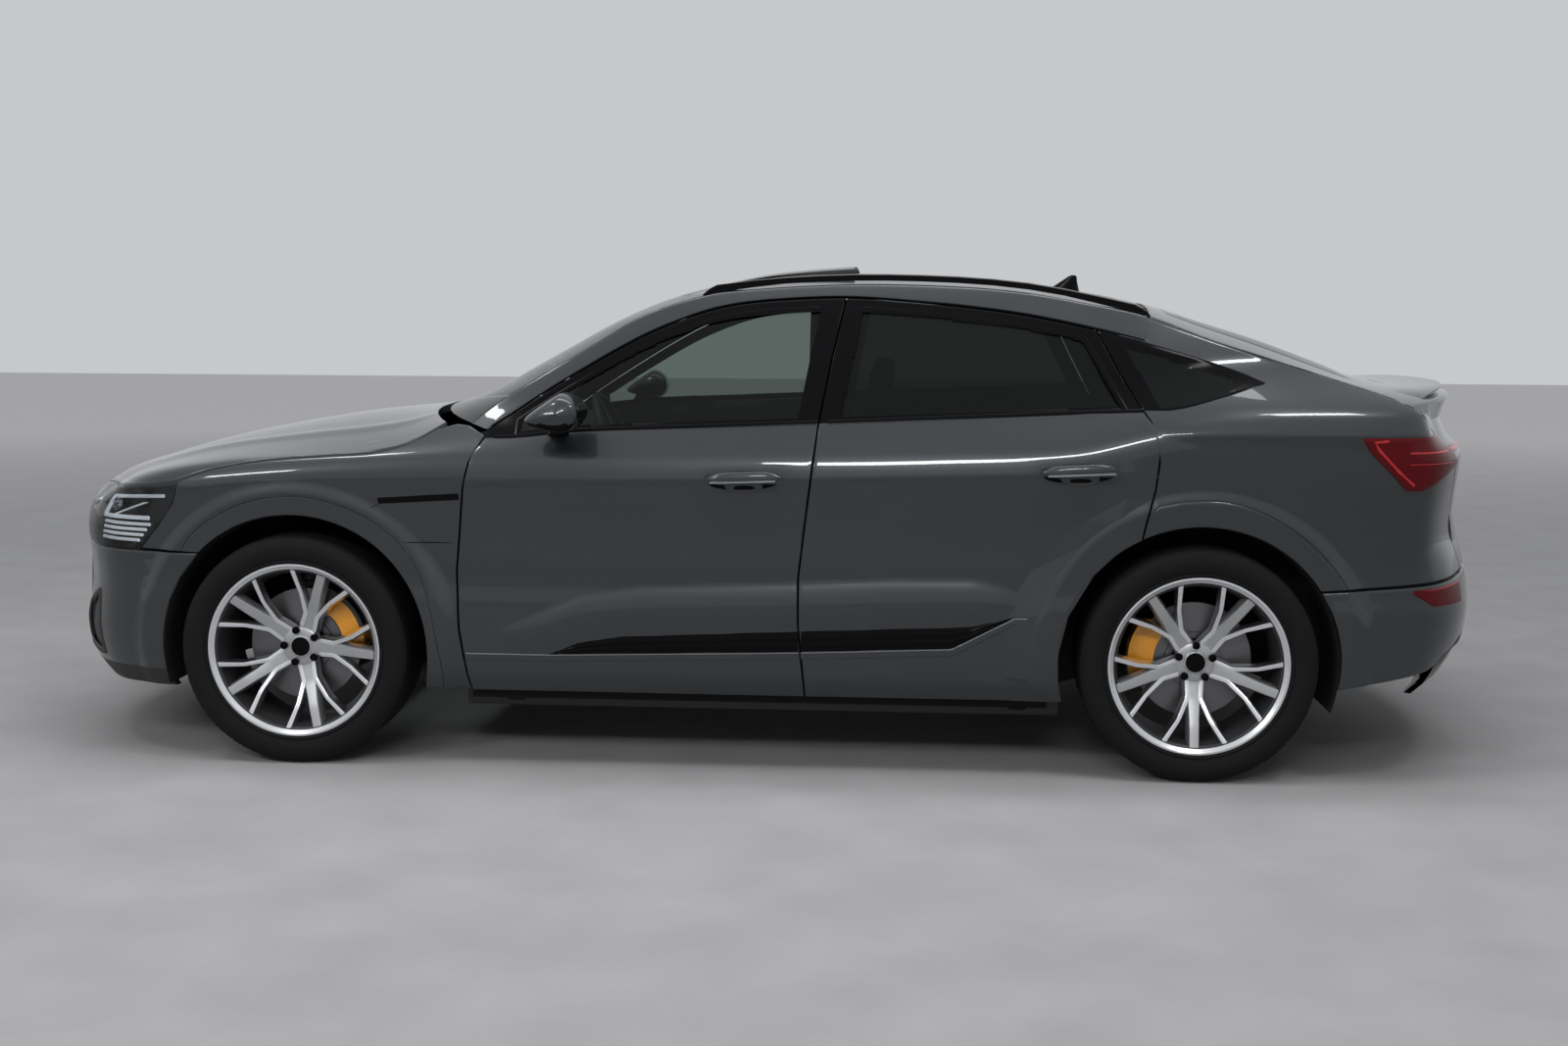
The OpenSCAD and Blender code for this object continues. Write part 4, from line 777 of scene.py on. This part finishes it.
# Bumpers
def front_fn(s, t):
    z0 = mix(240, 692, t)
    e = FA - np.sqrt(ARCH**2 - (z0 - ZA)**2)
    u = mix(NOSE_MID, e, s)
    zt = mix(curve(BONNET_FRONT, u) - 2, 692, ss((u - NOSE + 140) / 44))
    return u, mix(240, zt, t), 0


def rear_fn(s, t):
    z0 = mix(300, 618, t)
    e = RA + np.sqrt(ARCH**2 - (z0 - ZA)**2)
    u = mix(e, TAIL_MID, s)
    low = linear(REAR_LOW, u)
    return u, mix(low, np.minimum(rear_seam(u), 650) - .5, t), 0


GRILLE_HOLE = np.array([[-330, 372], [330, 372], [470, 520], [500, 690], [430, 842], [-430, 842], [-500, 690],
                        [-470, 520]])
VENT_HOLE = np.array([[560, 330], [800, 330], [770, 540], [600, 470]])


def bumpers(s, tag):
    def holes(c):
        q = pts(np.abs(c[:, 1]), c[:, 2])
        return ~((inside(GRILLE_HOLE, q) | inside(VENT_HOLE, q)) & (c[:, 0] < NOSE + 330))

    def rear_black(c):
        return (c[:, 2] < np.interp(np.abs(c[:, 1]), [560, 700, 800, 890], [452, 446, 400, 300]))
    P = patch(front_fn, 150, 70, 1600, 450, middle="start")
    skin("front_bumper_skin_" + tag, P, s, [PAINT, GRAIN], "body", keep=holes,
         index=lambda c: (c[:, 2] < 300), slot="paint")
    P = patch(rear_fn, 130, 44, 1300, 280, middle="end")
    skin("rear_bumper_skin_" + tag, P, s, [PAINT, GRAIN], "body", index=rear_black, slot="paint")

    def lower_fn(a, t):
        z = mix(660, 1180, t)
        return mix(linear(TAIL_CUT, z) + 2.5, TAIL_MID, a), z, 0
    P = patch(lower_fn, 90, 60, 900, 500, middle="end")
    skin("tailgate_lower_" + tag, P, s, PAINT, "tailgate", slot="paint")


both(bumpers)


# Grille: frame and upright bars, and the frames of the side vents
def front_path(points, n):
    q = resample(points, n)[0]
    w = np.array(PLAN)[:10]
    return pts(np.interp(np.abs(q[:, 0]), w[:, 2], w[:, 0]), q[:, 1])


def front_trim(s, tag):
    frame_path = front_path([(1, 846), (434, 846), (505, 690), (474, 518), (332, 368), (1, 368)], 120)
    strip("grille_frame_" + tag, frame_path, 30, 4, IRON, "body", s)
    for k, y in enumerate((38, 114, 190, 266, 342, 418)):
        low = float(np.interp(y, [0, 330, 470], [380, 380, 520]))
        strip("grille_bar_%d_%s" % (k, tag), front_path([(y, low), (y, 836)], 40), 15, 9, SILVER_AND_PAINTED_HIGHLIGHT, "body", s, off=12)
    vent = [(560, 330), (800, 330), (770, 540), (600, 470), (560, 330)]
    strip("vent_frame_" + tag, front_path(vent, 80), 22, 8, GRAIN, "body", s)


both(front_trim)


# Lamps, and the lines on the fender and flares
def lamp_u(q, z):
    return mix(NOSE + 60, float(linear(LAMP_REAR, z)) - 46, q)


def tube(us, zs, half_u, half_z, deep, thick):
    return np.stack([side(us + half_u * math.cos(a), zs + half_z * math.cos(a), deep + thick * math.sin(a))
                     for a in span(0, 2 * math.pi, 9)], 1)


def lamp_grid(d):
    i, j = unit(60, 22)
    z = mix(694.0, curve(BONNET_FRONT, mix(NOSE - 140, NOSE + 555, i)) - 3, j)
    return side(mix(NOSE - 84 - 40 * (z - 693) / 180, linear(LAMP_REAR, z) - 2, i), z, d)


def tail_grid(d):
    i, j = unit(50, 20)
    u = RA + 700.0
    for _ in range(5):
        z = mix(np.interp(u, [RA + 640, RA + 700, 2421], [941, 941, 1012]), 1113, j)
        left = np.interp(z, [941, 1060, 1113], [RA + 636, RA + 511, RA + 476])
        u = mix(left, linear(TAIL_CUT, z) - 2.5, i)
    rim = rim_of(i, j, 330, 140)
    return side(u, z, d + 3.5 * (1 - ss(rim / 6)))


# signature above the bars: a top line, an upright block, a slash and a lower line
SIGN = ((.40, 866, 1.0, 876, 0, 6), (.42, 860, .36, 806, 22, 0), (.86, 852, .56, 806, 11, 0),
        (.34, 799, .96, 800, 0, 7))
EYE = ((30, 6), (28, 12), (18, 22), (10, 18), (.5, 16))
HOOK = [(TAIL - 200, 1096), (RA + 560, 1098), (RA + 520, 1094), (RA + 534, 1070), (RA + 602, 1002), (RA + 660, 958)]


def lamps(s, tag):
    skin("headlamp_lens_" + tag, lamp_grid(-1.5), s, LENS, "body", slot="lamp_clear")
    skin("headlamp_back_" + tag, lamp_grid(32.0), s, BLACK, "body", slot="black_trim")
    for k in range(4):
        z = 724 + 18 * k
        P = tube(span(lamp_u(.40, z), lamp_u(1.0, z), 20), z, 0, 5.5, 16, 5.5)
        skin("headlamp_bar_%d_%s" % (k, tag), P, s, WHITE_LIT, "body", True, slot="lamp_clear")
    for k, (q0, z0, q1, z1, half_u, half_z) in enumerate(SIGN):
        us, zs = span(lamp_u(q0, z0), lamp_u(q1, z1), 20), span(z0, z1, 20)
        skin("headlamp_sign_%d_%s" % (k, tag), tube(us, zs, half_u, half_z, 14, 4), s, WHITE_LIT, "body", True,
             slot="lamp_clear")
    a = span(0, 2 * math.pi, 25)
    for k, u in enumerate((NOSE - 20, NOSE + 60, NOSE + 300)):
        P = np.stack([side(u + r * np.cos(a), 845 + r * .8 * np.sin(a), d) for r, d in EYE])
        skin("headlamp_eye_%d_%s" % (k, tag), P, s, CHROME, "body", slot="lamp_clear")
    skin("tail_lens_" + tag, tail_grid(-9.0), s, RED, "body", slot="lamp_red")

    def line(name, path, width, rise, material=BLACK, body="body"):
        strip(name + tag, path, width, rise, material, body, s)
    line("tail_hook_", HOOK, 15, 12, RED_LIT_AND_PAINTED_GLINT)
    us = span(RA + 640, TAIL - 130, 30)
    line("tail_bar_", pts(us, TAIL_BAR), 9, 12, RED_LIT_AND_PAINTED_GLINT)
    line("tail_low_", pts(us, 1024), 5, 12, RED_LIT_AND_PAINTED_GLINT)
    us = span(float(linear(TAIL_CUT, TAIL_BAR)) + 6, TAIL_MID, 50)
    line("tail_bar_gate_", pts(us, TAIL_BAR), 30, 5, RED, "tailgate")
    line("tail_bar_lit_", pts(us, TAIL_BAR), 9, 9, RED_LIT_AND_PAINTED_GLINT, "tailgate")
    i, j = unit(40, 14)
    u = mix(TAIL - 352, TAIL - 60, i)
    z = mix(np.interp(i, [0, .30, 1], [612, 566, 560]), rear_seam(u) - 9, j)
    rim = rim_of(i, j, 290, 60)
    skin("reflector_" + tag, side(u, z, -6.0 + 7.0 * (1 - ss(rim / 5))), s, RED, "body", slot="lamp_red")
    us = u[0, 3:-3]
    # The glowing line across the reflector is a painted glint; the reflector is no lamp
    line("reflector_painted_glint_", pts(us, rear_seam(us) - 15), 5, 8, RED_LIT_AND_PAINTED_GLINT)
    us = span(FA + 292, CUT_F + 6, 24)
    line("fender_strip_", pts(us, mix(876, 892, span(0, 1, 24))), 31, 5)
    line("fender_line_", [(FA + 296, 866), (FA + 232, 834)], 3.5, 3.2)
    line("fender_seam_", [(FA + 372, 741), (CUT_F - 6, 741)], 3, 2.9)
    a = np.radians(span(17, 62.5, 40))
    line("flare_seam_", pts(RA - SEAM_R * np.cos(a), ZA + SEAM_R * np.sin(a)), 4, 3.0, BLACK, "rear_door_" + tag)
    a = np.radians(span(-6, 37.5, 30))
    line("flare_seam_front_", pts(FA - SEAM_F * np.cos(a), ZA + SEAM_F * np.sin(a)), 4, 3.0)


both(lamps)


# Wheels
def revolve(profile, n=160):
    p = np.asarray(profile, float)
    a = circle(n)[None]
    r, z = p[:, :1], p[:, 1:]
    return pts(r * np.cos(a), r * np.sin(a), z)


def dish(r):
    """Height of the wheel's face over the axle's middle plane."""
    return np.interp(r, [0, 40, 70, 120, 200, 264, 275], [36, 44, 48, 62, 94, 112, 114])


def bar(points, w, t, draft=6.0):
    """A spoke along polar points: face strip with sloping flanks."""
    p = np.asarray(points, float)
    k = span(0, len(p) - 1, 26)
    p = pts(*[np.interp(k, range(len(p)), axis) for axis in p.T])
    w = np.interp(k, range(len(w)), w)
    tan = np.gradient(p, axis=0)
    tan /= np.linalg.norm(tan, axis=1)[:, None]
    nor = np.stack([-tan[:, 1], tan[:, 0]], -1)
    rows = []
    for a, dz, o in ((-1, -t, draft), (-1, -4, 0), (-.86, -.6, 0), (-.4, 0, 0),
                     (.4, 0, 0), (.86, -.6, 0), (1, -4, 0), (1, -t, draft)):
        q = p + nor * (a * w[:, None] + np.sign(a) * o)
        rows.append(np.concatenate([q, (dish(np.hypot(*p.T)) + dz)[:, None]], 1))
    return np.stack(rows, 1)


def box_faces(i):
    """Five sides of a tread block whose eight corners start at i; its foot is open."""
    return [(i + 4, i + 5, i + 7, i + 6), (i, i + 1, i + 5, i + 4), (i + 2, i + 6, i + 7, i + 3),
            (i, i + 4, i + 6, i + 2), (i + 1, i + 3, i + 7, i + 5)]


BLOCKS = 72
HUB = [(62, 12), (66, 36), (63, 47), (58, 50), (38, 51), (36.5, 53), (34, 54.5), (31.5, 54.5), (31, 52), (10, 53),
       (.5, 53.2)]
BOLT = [(12.5, 46), (12.5, 57.4), (11.6, 58), (9.5, 58), (9, 54), (7.5, 54), (7.2, 56.6), (6.4, 57.2), (.3, 57.4)]
DISC = [(70, -2), (90, -1), (92, -6), (DISC_R - 1, -6), (DISC_R, -7), (DISC_R, -27), (DISC_R - 1, -28), (92, -28),
        (90, -20), (70, -18)]


def wheel(axle, s, tag):
    x = FA if axle == "front" else RA
    turn = math.radians(213 if axle == "front" else -91)
    body = "%s_wheel_%s" % (axle, tag)

    def place(P):
        P = np.asarray(P, float)
        return np.stack([x + P[..., 0], -s * (TRACK / 2 + P[..., 2]), ZA + P[..., 1]], -1)

    def spin(P, a):
        c, d = math.cos(a), math.sin(a)
        return np.stack([P[..., 0] * c - P[..., 1] * d, P[..., 0] * d + P[..., 1] * c, P[..., 2]], -1)

    def part(name, P, mats, slot="wheel_alloy", **more):
        return sheet(body + name, place(P), mats, body, flip=s < 0, slot=slot, **more)

    def reach(c):
        return np.hypot(c[:, 0] - x, c[:, 2] - ZA)

    w, t, r, b = RIM_W / 2, TYRE_W / 2, TYRE_R, RIM - 20
    # tyre: section with rounded shoulders and a rim guard
    prof = [(RIM - 17, w - 14), (RIM + 2, w - 8), (RIM + 5, w + 5), (RIM + 11, w + 11), (RIM + 15, w + 7),
            (RIM + 24, w + 12), (RIM + 40, t - 1), (RIM + 56, t), (RIM + 70, t - 3), (r - 14, t - 9), (r - 7, t - 15),
            (r - 2.4, t - 27), (r - .6, t - 50), (r, 40), (r, 0)]
    prof = prof + [(a, -c) for a, c in prof[::-1][1:]]
    tp = sheet(body + "_tyre", place(revolve(prof, 240)), RUBBER, body, flip=s > 0, close=True, sharp=50, slot="tyre")
    # tread: rows of blocks that stand on the tyre, slanted by turns
    verts, faces = [], []
    for row, (c0, c1, sl) in enumerate(((-t + 14, -82, 0), (-74, -38, 9), (-30, 30, -7), (38, 74, 9), (82, t - 14, 0))):
        for k in range(BLOCKS):
            a0 = 2 * math.pi * k / BLOCKS + (row % 2) * math.pi / BLOCKS
            da = 2 * math.pi / BLOCKS * .84
            faces += box_faces(len(verts))
            for rr in (r - 9, r):
                for c, sh in ((c0, -sl), (c1, sl)):
                    rad = rr - (5.0 if abs(c) > t - 16 else 0)
                    for a in (a0, a0 + da):
                        aa = a + sh / r
                        verts.append((rad * math.cos(aa), rad * math.sin(aa), c))
    mesh(body + "_tread", place(np.array(verts)), faces if s > 0 else [f[::-1] for f in faces], RUBBER, body)
    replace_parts(tp, "tyre_%s_%s" % (axle, tag))
    # rim: lip, outer flange and drop-centre barrel
    lip = [(RIM - 16, w - 16), (RIM + 3, w - 9), (RIM + 5, w + 3), (RIM + 2, w + 8), (RIM - 4, w + 8.5),
           (RIM - 9, w + 4), (RIM - 16, w - 1), (b - 4, w - 8), (b - 9, w - 30), (b - 16, w - 60), (b - 18, 0),
           (b - 12, -w + 30), (b - 8, -w + 4), (RIM, -w - 2), (RIM, -w + 8)]
    ring = part("_rim", revolve(lip), [WHEEL_DARK, MACHINED], close=True,
                index=lambda c: (reach(c) > RIM - 16))
    for k in range(5):
        a = turn + 2 * math.pi * k / 5
        P = bar([(28, 0), (90, 0), (RIM * .6, 0), (RIM - 20, 0)], [25, 22, 17, 16], 40)
        part("_wide_%d" % k, spin(P, a), WHEEL_GREY)
        for g in (-1, 1):
            way = [(.15, 0), (.41, 26 * g), (.66, 20.5 * g), (.945, 14.5 * g)]
            way = [(RIM * q * math.cos(math.radians(e)), RIM * q * math.sin(math.radians(e))) for q, e in way]
            part("_thin_%d_%d" % (k, g + 1), spin(bar(way, [7, 8, 7, 8.5], 34, draft=5), a + math.pi / 5), MACHINED)
    part("_hub", revolve(HUB, 80), [WHEEL_GREY, BLACK], close=True, index=lambda c: (reach(c) < 31.6))
    for k in range(5):
        a = turn + math.pi / 5 + 2 * math.pi * k / 5
        bolt = revolve(BOLT, 24) + np.array([56 * math.cos(a), 56 * math.sin(a), 0])
        part("_bolt_%d" % k, bolt, BLACK, "steel", close=True)
    part("_disc", revolve(DISC, 140), STEEL, "steel", close=True)
    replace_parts(ring, "wheel_%s_%s" % (axle, tag))


def wheels(s, tag):
    for axle in ("front", "rear"):
        wheel(axle, s, tag)


both(wheels)


# Calipers
def caliper(axle, s, tag):
    x = FA if axle == "front" else RA
    mid_a = math.radians(24 if axle == "front" else 168)
    body = "knuckle_" + tag if axle == "front" else "body"
    a = span(-.55, .55, 40)
    end = 1 - .12 * np.abs(a / .55)**8
    P = [pts(x + r * end * np.cos(mid_a + a), -s * (TRACK / 2 + z * end), ZA + r * end * np.sin(mid_a + a))
         for r, z in ((130, 6), (134, 19), (150, 23), (186, 22), (204, 16), (210, 2), (210, -44), (204, -52))]
    sheet("caliper_%s_%s" % (axle, tag), np.stack(P), ORANGE, body, flip=s < 0, slot="caliper")


# Arch liners
def liners(s, tag):
    caliper("front", s, tag)
    caliper("rear", s, tag)
    for nm, x, last, deep in (("front", FA, 196, 470), ("rear", RA, 199, 668)):
        a = np.radians(180 - span(-16, last, 90))
        rows = [pts(x + r * np.cos(a), -s * y, ZA + r * np.sin(a)) for r, y in (
            (ARCH - 2, 930), (ARCH - 5, 918), (ARCH - 3, 800), (ARCH - 5, deep + 12), (ARCH - 16, deep), (190, deep),
            (90, deep))]
        sheet("liner_%s_%s" % (nm, tag), np.stack(rows), LINER, "body", flip=s > 0, slot="grille_black")


both(liners)


# Door handles: a dark cup behind a bar that bows out
def loft(name, rings, material, body, s, slot, inward=False):
    skin(name, np.stack(rings), s, material, body, inward, close=True, sharp=40, slot=slot)


def handles(s, tag):
    a, b = circle(48), circle(16)
    for kind, (x, z, tilt) in GRIPS.items():
        body = "%s_door_%s" % (kind, tag)
        cup = [side(x + 118 * k * np.sign(np.cos(a)) * np.abs(np.cos(a))**.8,
                    z - 6 + 118 * k * tilt * np.cos(a) + 30 * k * np.sin(a), -d)
               for k, d in ((1.0, 2.0), (.97, 4.0), (.9, 4.2), (.5, 3.2), (.02, 3.0))]
        loft(body + "_cup", cup, BLACK, body, s, "black_trim", True)
        hollow = [side(x + 62 * k * np.cos(a), z - 24 + 24 * k * np.sin(a), -e)
                  for k, e in ((1, 2.2), (.96, 4.4), (.8, 4.6), (.4, 3.4), (.02, 3.2))]
        loft(body + "_dish", hollow, PAINT, body, s, "paint", True)
        rings = []
        for t in span(-1, 1, 33):
            h = 19.5 * (1 - abs(t)**4) + 1.5
            out = 8 + 17 * (1 - abs(t)**3.2)
            rings.append(side(x + 122 * t, z + 2 + 122 * t * tilt + h * np.sin(b), -(out + 7 * np.cos(b))))
        loft(body + "_grip", rings, PAINT, body, s, "paint")
        us = span(x - 104, x + 104, 24)
        # The silver line along the lower grip is a painted highlight
        strip(body + "_grip_painted_highlight", pts(us, z - 7 + (us - x) * tilt), 5, 36.5, SILVER_AND_PAINTED_HIGHLIGHT, body, s, off=-26.5)


# Mirrors: a wedge-shaped cap with a black foot and rear face, on an arm
def mirrors(s, tag):
    body = "front_door_" + tag
    cx, cy, cz = FA + 905, -1030.0, 1168.0
    rings, b = [], circle(32)
    for t in span(0, 1, 25):
        k = (1 - abs(2 * t - 1)**3.2)**.5 * .92 + .03
        X = np.where(np.cos(b) < 0, 100 * k * np.cos(b), 62 * np.cos(b) * min(k * 1.4, 1))
        Z = 66 * k * np.sign(np.sin(b)) * np.abs(np.sin(b))**.85
        ahead = np.clip(-X / 100, 0, 1)
        Z = Z * (1 - .62 * ahead) - 26 * ahead
        X = np.where(X < 0, X * 1.22, X)
        rings.append(pts(cx + X + 14 - 10 * (1 - t), cy + mix(-100.5, 96, t), cz + Z + 5 * t))
    cap = skin("mirror_cap_" + tag, np.stack(rings), s, [PAINT, BLACK], body, True, close=True, slot="paint",
               index=lambda c: ((c[:, 2] < cz - 26) | (c[:, 0] > cx + 66)))
    b = circle(16)
    arm = [pts(FA + 872 + mix(40, 30, t) * np.cos(b) + 8 * t, mix(-890, -966, t),
               mix(1080, 1126, t**.8) + mix(15, 18, t) * np.sin(b)) for t in span(0, 1, 9)]
    skin("mirror_arm_" + tag, np.stack(arm), s, BLACK, body, True, close=True, slot="black_trim")
    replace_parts(cap, "mirror_" + tag)


both(handles)
both(mirrors)

# Spoiler: the deck's own surface lifts into a thin lip
rings = []
q = span(0, 1, 13)
for y in span(-1, 1, 81):
    h = abs(y)
    end = 1 - h**7
    xt, yt = TAIL - 116 - 205 * h**2.5, y * SPOILER_HALF
    xs = xt - 190 + 190 * q
    top = on_deck(xs, np.full(13, yt)) - 2 + (4 + 26 * q**1.9) * end
    zt = top[-1]
    low = on_deck(np.array([xt - 14, xt - 60, xt - 150]), np.full(3, yt))
    tip = np.array([[xt + 5, zt + .5], [xt + 8, zt - 3], [xt + 6, zt - 8 * end - 2],
                    [xt - 14, min(zt - 15 * end, low[0] + 8 * end) - 2], [xt - 60, low[1] - 8],
                    [xt - 150, low[2] - 10]])
    sec = np.concatenate([pts(xs, top), tip])
    rings.append(pts(sec[:, 0], yt, sec[:, 1]))
sheet("spoiler", np.stack(rings), PAINT, "tailgate", close=True, slot="paint", sharp=50)

# Seats: crowned leather pads with side bolsters
def pad(name, lo, hi, tilt, seams=()):
    lo, hi = np.array(lo, float), np.array(hi, float)
    c, h = (lo + hi) / 2, (hi - lo) / 2
    a = span(-math.pi / 2, math.pi / 2, 28)[:, None]
    b = circle(40)[None, :]
    f = lambda v: np.sign(v) * np.abs(v)**(2 / 3.4)
    P = pts(f(np.cos(a)) * f(np.cos(b)), f(np.cos(a)) * f(np.sin(b)), f(np.sin(a)))
    if seams:
        P = P * (1 - sum(.05 * np.exp(-((P[..., 1] - q) / .035)**2) for q in seams))[..., None]
    P = P * h
    ca, sa = math.cos(tilt), math.sin(tilt)
    P = np.stack([P[..., 0] * ca + P[..., 2] * sa, P[..., 1], -P[..., 0] * sa + P[..., 2] * ca], -1) + c
    ob = sheet(name, P, LEATHER, "body", close=True, slot="leather", sharp=60)
    return ob


def front_seat(s, tag):
    y = -370 * s
    y0, y1 = (-620, -10) if s > 0 else (10, 620)
    seats.append(pad("seat_base_" + tag, (-345, y - 235, 520), (165, y + 235, 668), -.06, (-.55, .55)))
    pad("seat_back_" + tag, (205, y - 232, 620), (335, y + 232, 1150), .30, (-.55, .55))
    pad("seat_head_" + tag, (352, y - 130, 1140), (440, y + 130, 1310), .18)
    for g in (-1, 1):
        k = "_%d_%s" % (g + 1, tag)
        pad("seat_bolster" + k, (-300, y + g * 205 - 45, 600), (140, y + g * 205 + 45, 700), -.06)
        pad("seat_wing" + k, (165, y + g * 200 - 45, 660), (290, y + g * 200 + 45, 1060), .30)
    pad("bench_base_" + tag, (RA - 760, y0, 520), (RA - 340, y1, 668), -.05, (-.5, .5))
    pad("bench_back_" + tag, (RA - 320, y0, 640), (RA - 160, y1, 1110), .36, (-.5, .5))
    pad("bench_head_" + tag, (RA - 175, y - 120, 1090), (RA - 90, y + 120, 1230), .25)


seats = []
both(front_seat)
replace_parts(seats[0], "seats")

# CAD nodes that stay in view get the finished materials
FINISH = {"paint": PAINT, "black_trim": BLACK, "grille_black": GRAIN, "clear_glass": CLEAR, "dark_glass": PRIVACY,
          "lamp_clear": LENS, "lamp_red": RED, "steel": IRON, "frame_steel": LINER, "alloy": IRON,
          "wheel_alloy": WHEEL_GREY, "tyre": RUBBER, "caliper": ORANGE, "leather": LEATHER, "interior": SOFT}
SLOT = {p["node"]: p["material_slot"] for p in frame["record"]["subparts"]}
for name, ob in frame["nodes"].items():
    m = FINISH[SLOT[name]]
    if name.startswith("knuckle"):
        m = IRON
    ob.data.materials.clear()
    ob.data.materials.append(m)
    if "_door_" in name:
        ob.data.materials.append(BLACK)
        mid_p = np.array([f.center[:] for f in ob.data.polygons]) * 1000
        ob.data.polygons.foreach_set("material_index", (mid_p[:, 2] > belt(mid_p[:, 0]) + 1).astype(np.int32))

# Stage, light and camera
scene = bpy.context.scene
bpy.ops.mesh.primitive_plane_add(size=60, location=(0, 0, 0))
floor = bpy.context.object
floor.name = "floor"
grey = new_material("floor", (.26, .26, .265), .8, 0, 0, .03, 3)
floor.data.materials.append(grey)
# the floor stays pale where the lamps no longer reach it
nt = grey.node_tree
far_n = nt.nodes.new("ShaderNodeVectorMath")
far_n.operation = "LENGTH"
ramp = fill(nt.nodes.new("ShaderNodeMapRange"), {"From Min": 3.0, "From Max": 16.0, "To Min": 0.0, "To Max": .24})
nt.links.new(nt.nodes.new("ShaderNodeNewGeometry").outputs["Position"], far_n.inputs[0])
nt.links.new(far_n.outputs["Value"], ramp.inputs["Value"])
surface = fill(nt.nodes["Principled BSDF"], {"Emission Color": (1, 1, 1.02, 1)})
nt.links.new(ramp.outputs["Result"], surface.inputs["Emission Strength"])
world = bpy.data.worlds.new("world")
scene.world = world
world.use_nodes = True
wn = world.node_tree
bg = fill(wn.nodes["Background"], {"Color": (.60, .61, .625, 1)})
# brighter to the camera, in gloss and through glass than as a light
rays = wn.nodes.new("ShaderNodeLightPath")
either, any_ray = wn.nodes.new("ShaderNodeMath"), wn.nodes.new("ShaderNodeMath")
either.operation = any_ray.operation = "MAXIMUM"
level = fill(wn.nodes.new("ShaderNodeMapRange"), {"To Min": .45, "To Max": .95})
for a, b in ((rays.outputs["Is Camera Ray"], either.inputs[0]), (rays.outputs["Is Glossy Ray"], either.inputs[1]),
             (either.outputs[0], any_ray.inputs[0]), (rays.outputs["Is Transmission Ray"], any_ray.inputs[1]),
             (any_ray.outputs[0], level.inputs["Value"]), (level.outputs["Result"], bg.inputs["Strength"])):
    wn.links.new(a, b)


def area(name, loc, target, size, power, size_y):
    l = bpy.data.lights.new(name, "AREA")
    l.energy = power
    l.shape = "RECTANGLE"
    l.size, l.size_y = size, size_y
    o = bpy.data.objects.new(name, l)
    o.location = loc
    o.rotation_euler = (Vector(target) - Vector(loc)).to_track_quat("-Z", "Y").to_euler()
    scene.collection.objects.link(o)
    return o


area("over", (0, -1.0, 6.0), (0, 0, 0), 7.0, 330, 4.0).visible_glossy = False
area("top_streak", (.2, -.1, 6.0), (.2, -.1, 0), 5.0, 60, .8)
area("shoulder", (3.4, -2.8, 6.0), (1.7, -.9, 1.1), 1.5, 60, .6)
area("nose", (-3.6, -2.4, 6.0), (-1.3, -.8, 1.05), 1.4, 55, .6)
area("fill", (-2.5, -7.5, 5.0), (0, 0, .8), 6.0, 190, 1.2).visible_glossy = False
area("streak", (.6, -10.5, 6.2), (0, 0, 1.0), 3.2, 150, .55)
area("streak_front", (-6.5, -8.0, 6.0), (-1.5, 0, .9), 2.2, 110, .5)

# Camera, solved from the photograph's wheels
CAM_PLACE, CAM_YAW, CAM_PITCH, CAM_ROLL = (.461, -6.482, 1.507), -3.71, 7.06, .31
FOCAL_PX, IMAGE_W, SENSOR = 1789, 1600, 36
cam_data = bpy.data.cameras.new("camera")
cam = bpy.data.objects.new("camera", cam_data)
scene.collection.objects.link(cam)
yaw, pitch, roll = math.radians(CAM_YAW), math.radians(CAM_PITCH), math.radians(CAM_ROLL)
fwd = np.array([math.sin(yaw) * math.cos(pitch), math.cos(yaw) * math.cos(pitch), -math.sin(pitch)])
right = np.array([math.cos(yaw), -math.sin(yaw), 0])
up = np.cross(right, fwd)
R = np.eye(4)
R[:3, 0] = right * math.cos(roll) + up * math.sin(roll)
R[:3, 1] = -right * math.sin(roll) + up * math.cos(roll)
R[:3, 2], R[:3, 3] = -fwd, CAM_PLACE
cam.matrix_world = Matrix(R.tolist())
cam_data.sensor_width = SENSOR
cam_data.lens = FOCAL_PX / IMAGE_W * SENSOR
scene.camera = cam
scene.view_settings.view_transform = "Standard"

bpy.context.view_layer.update()
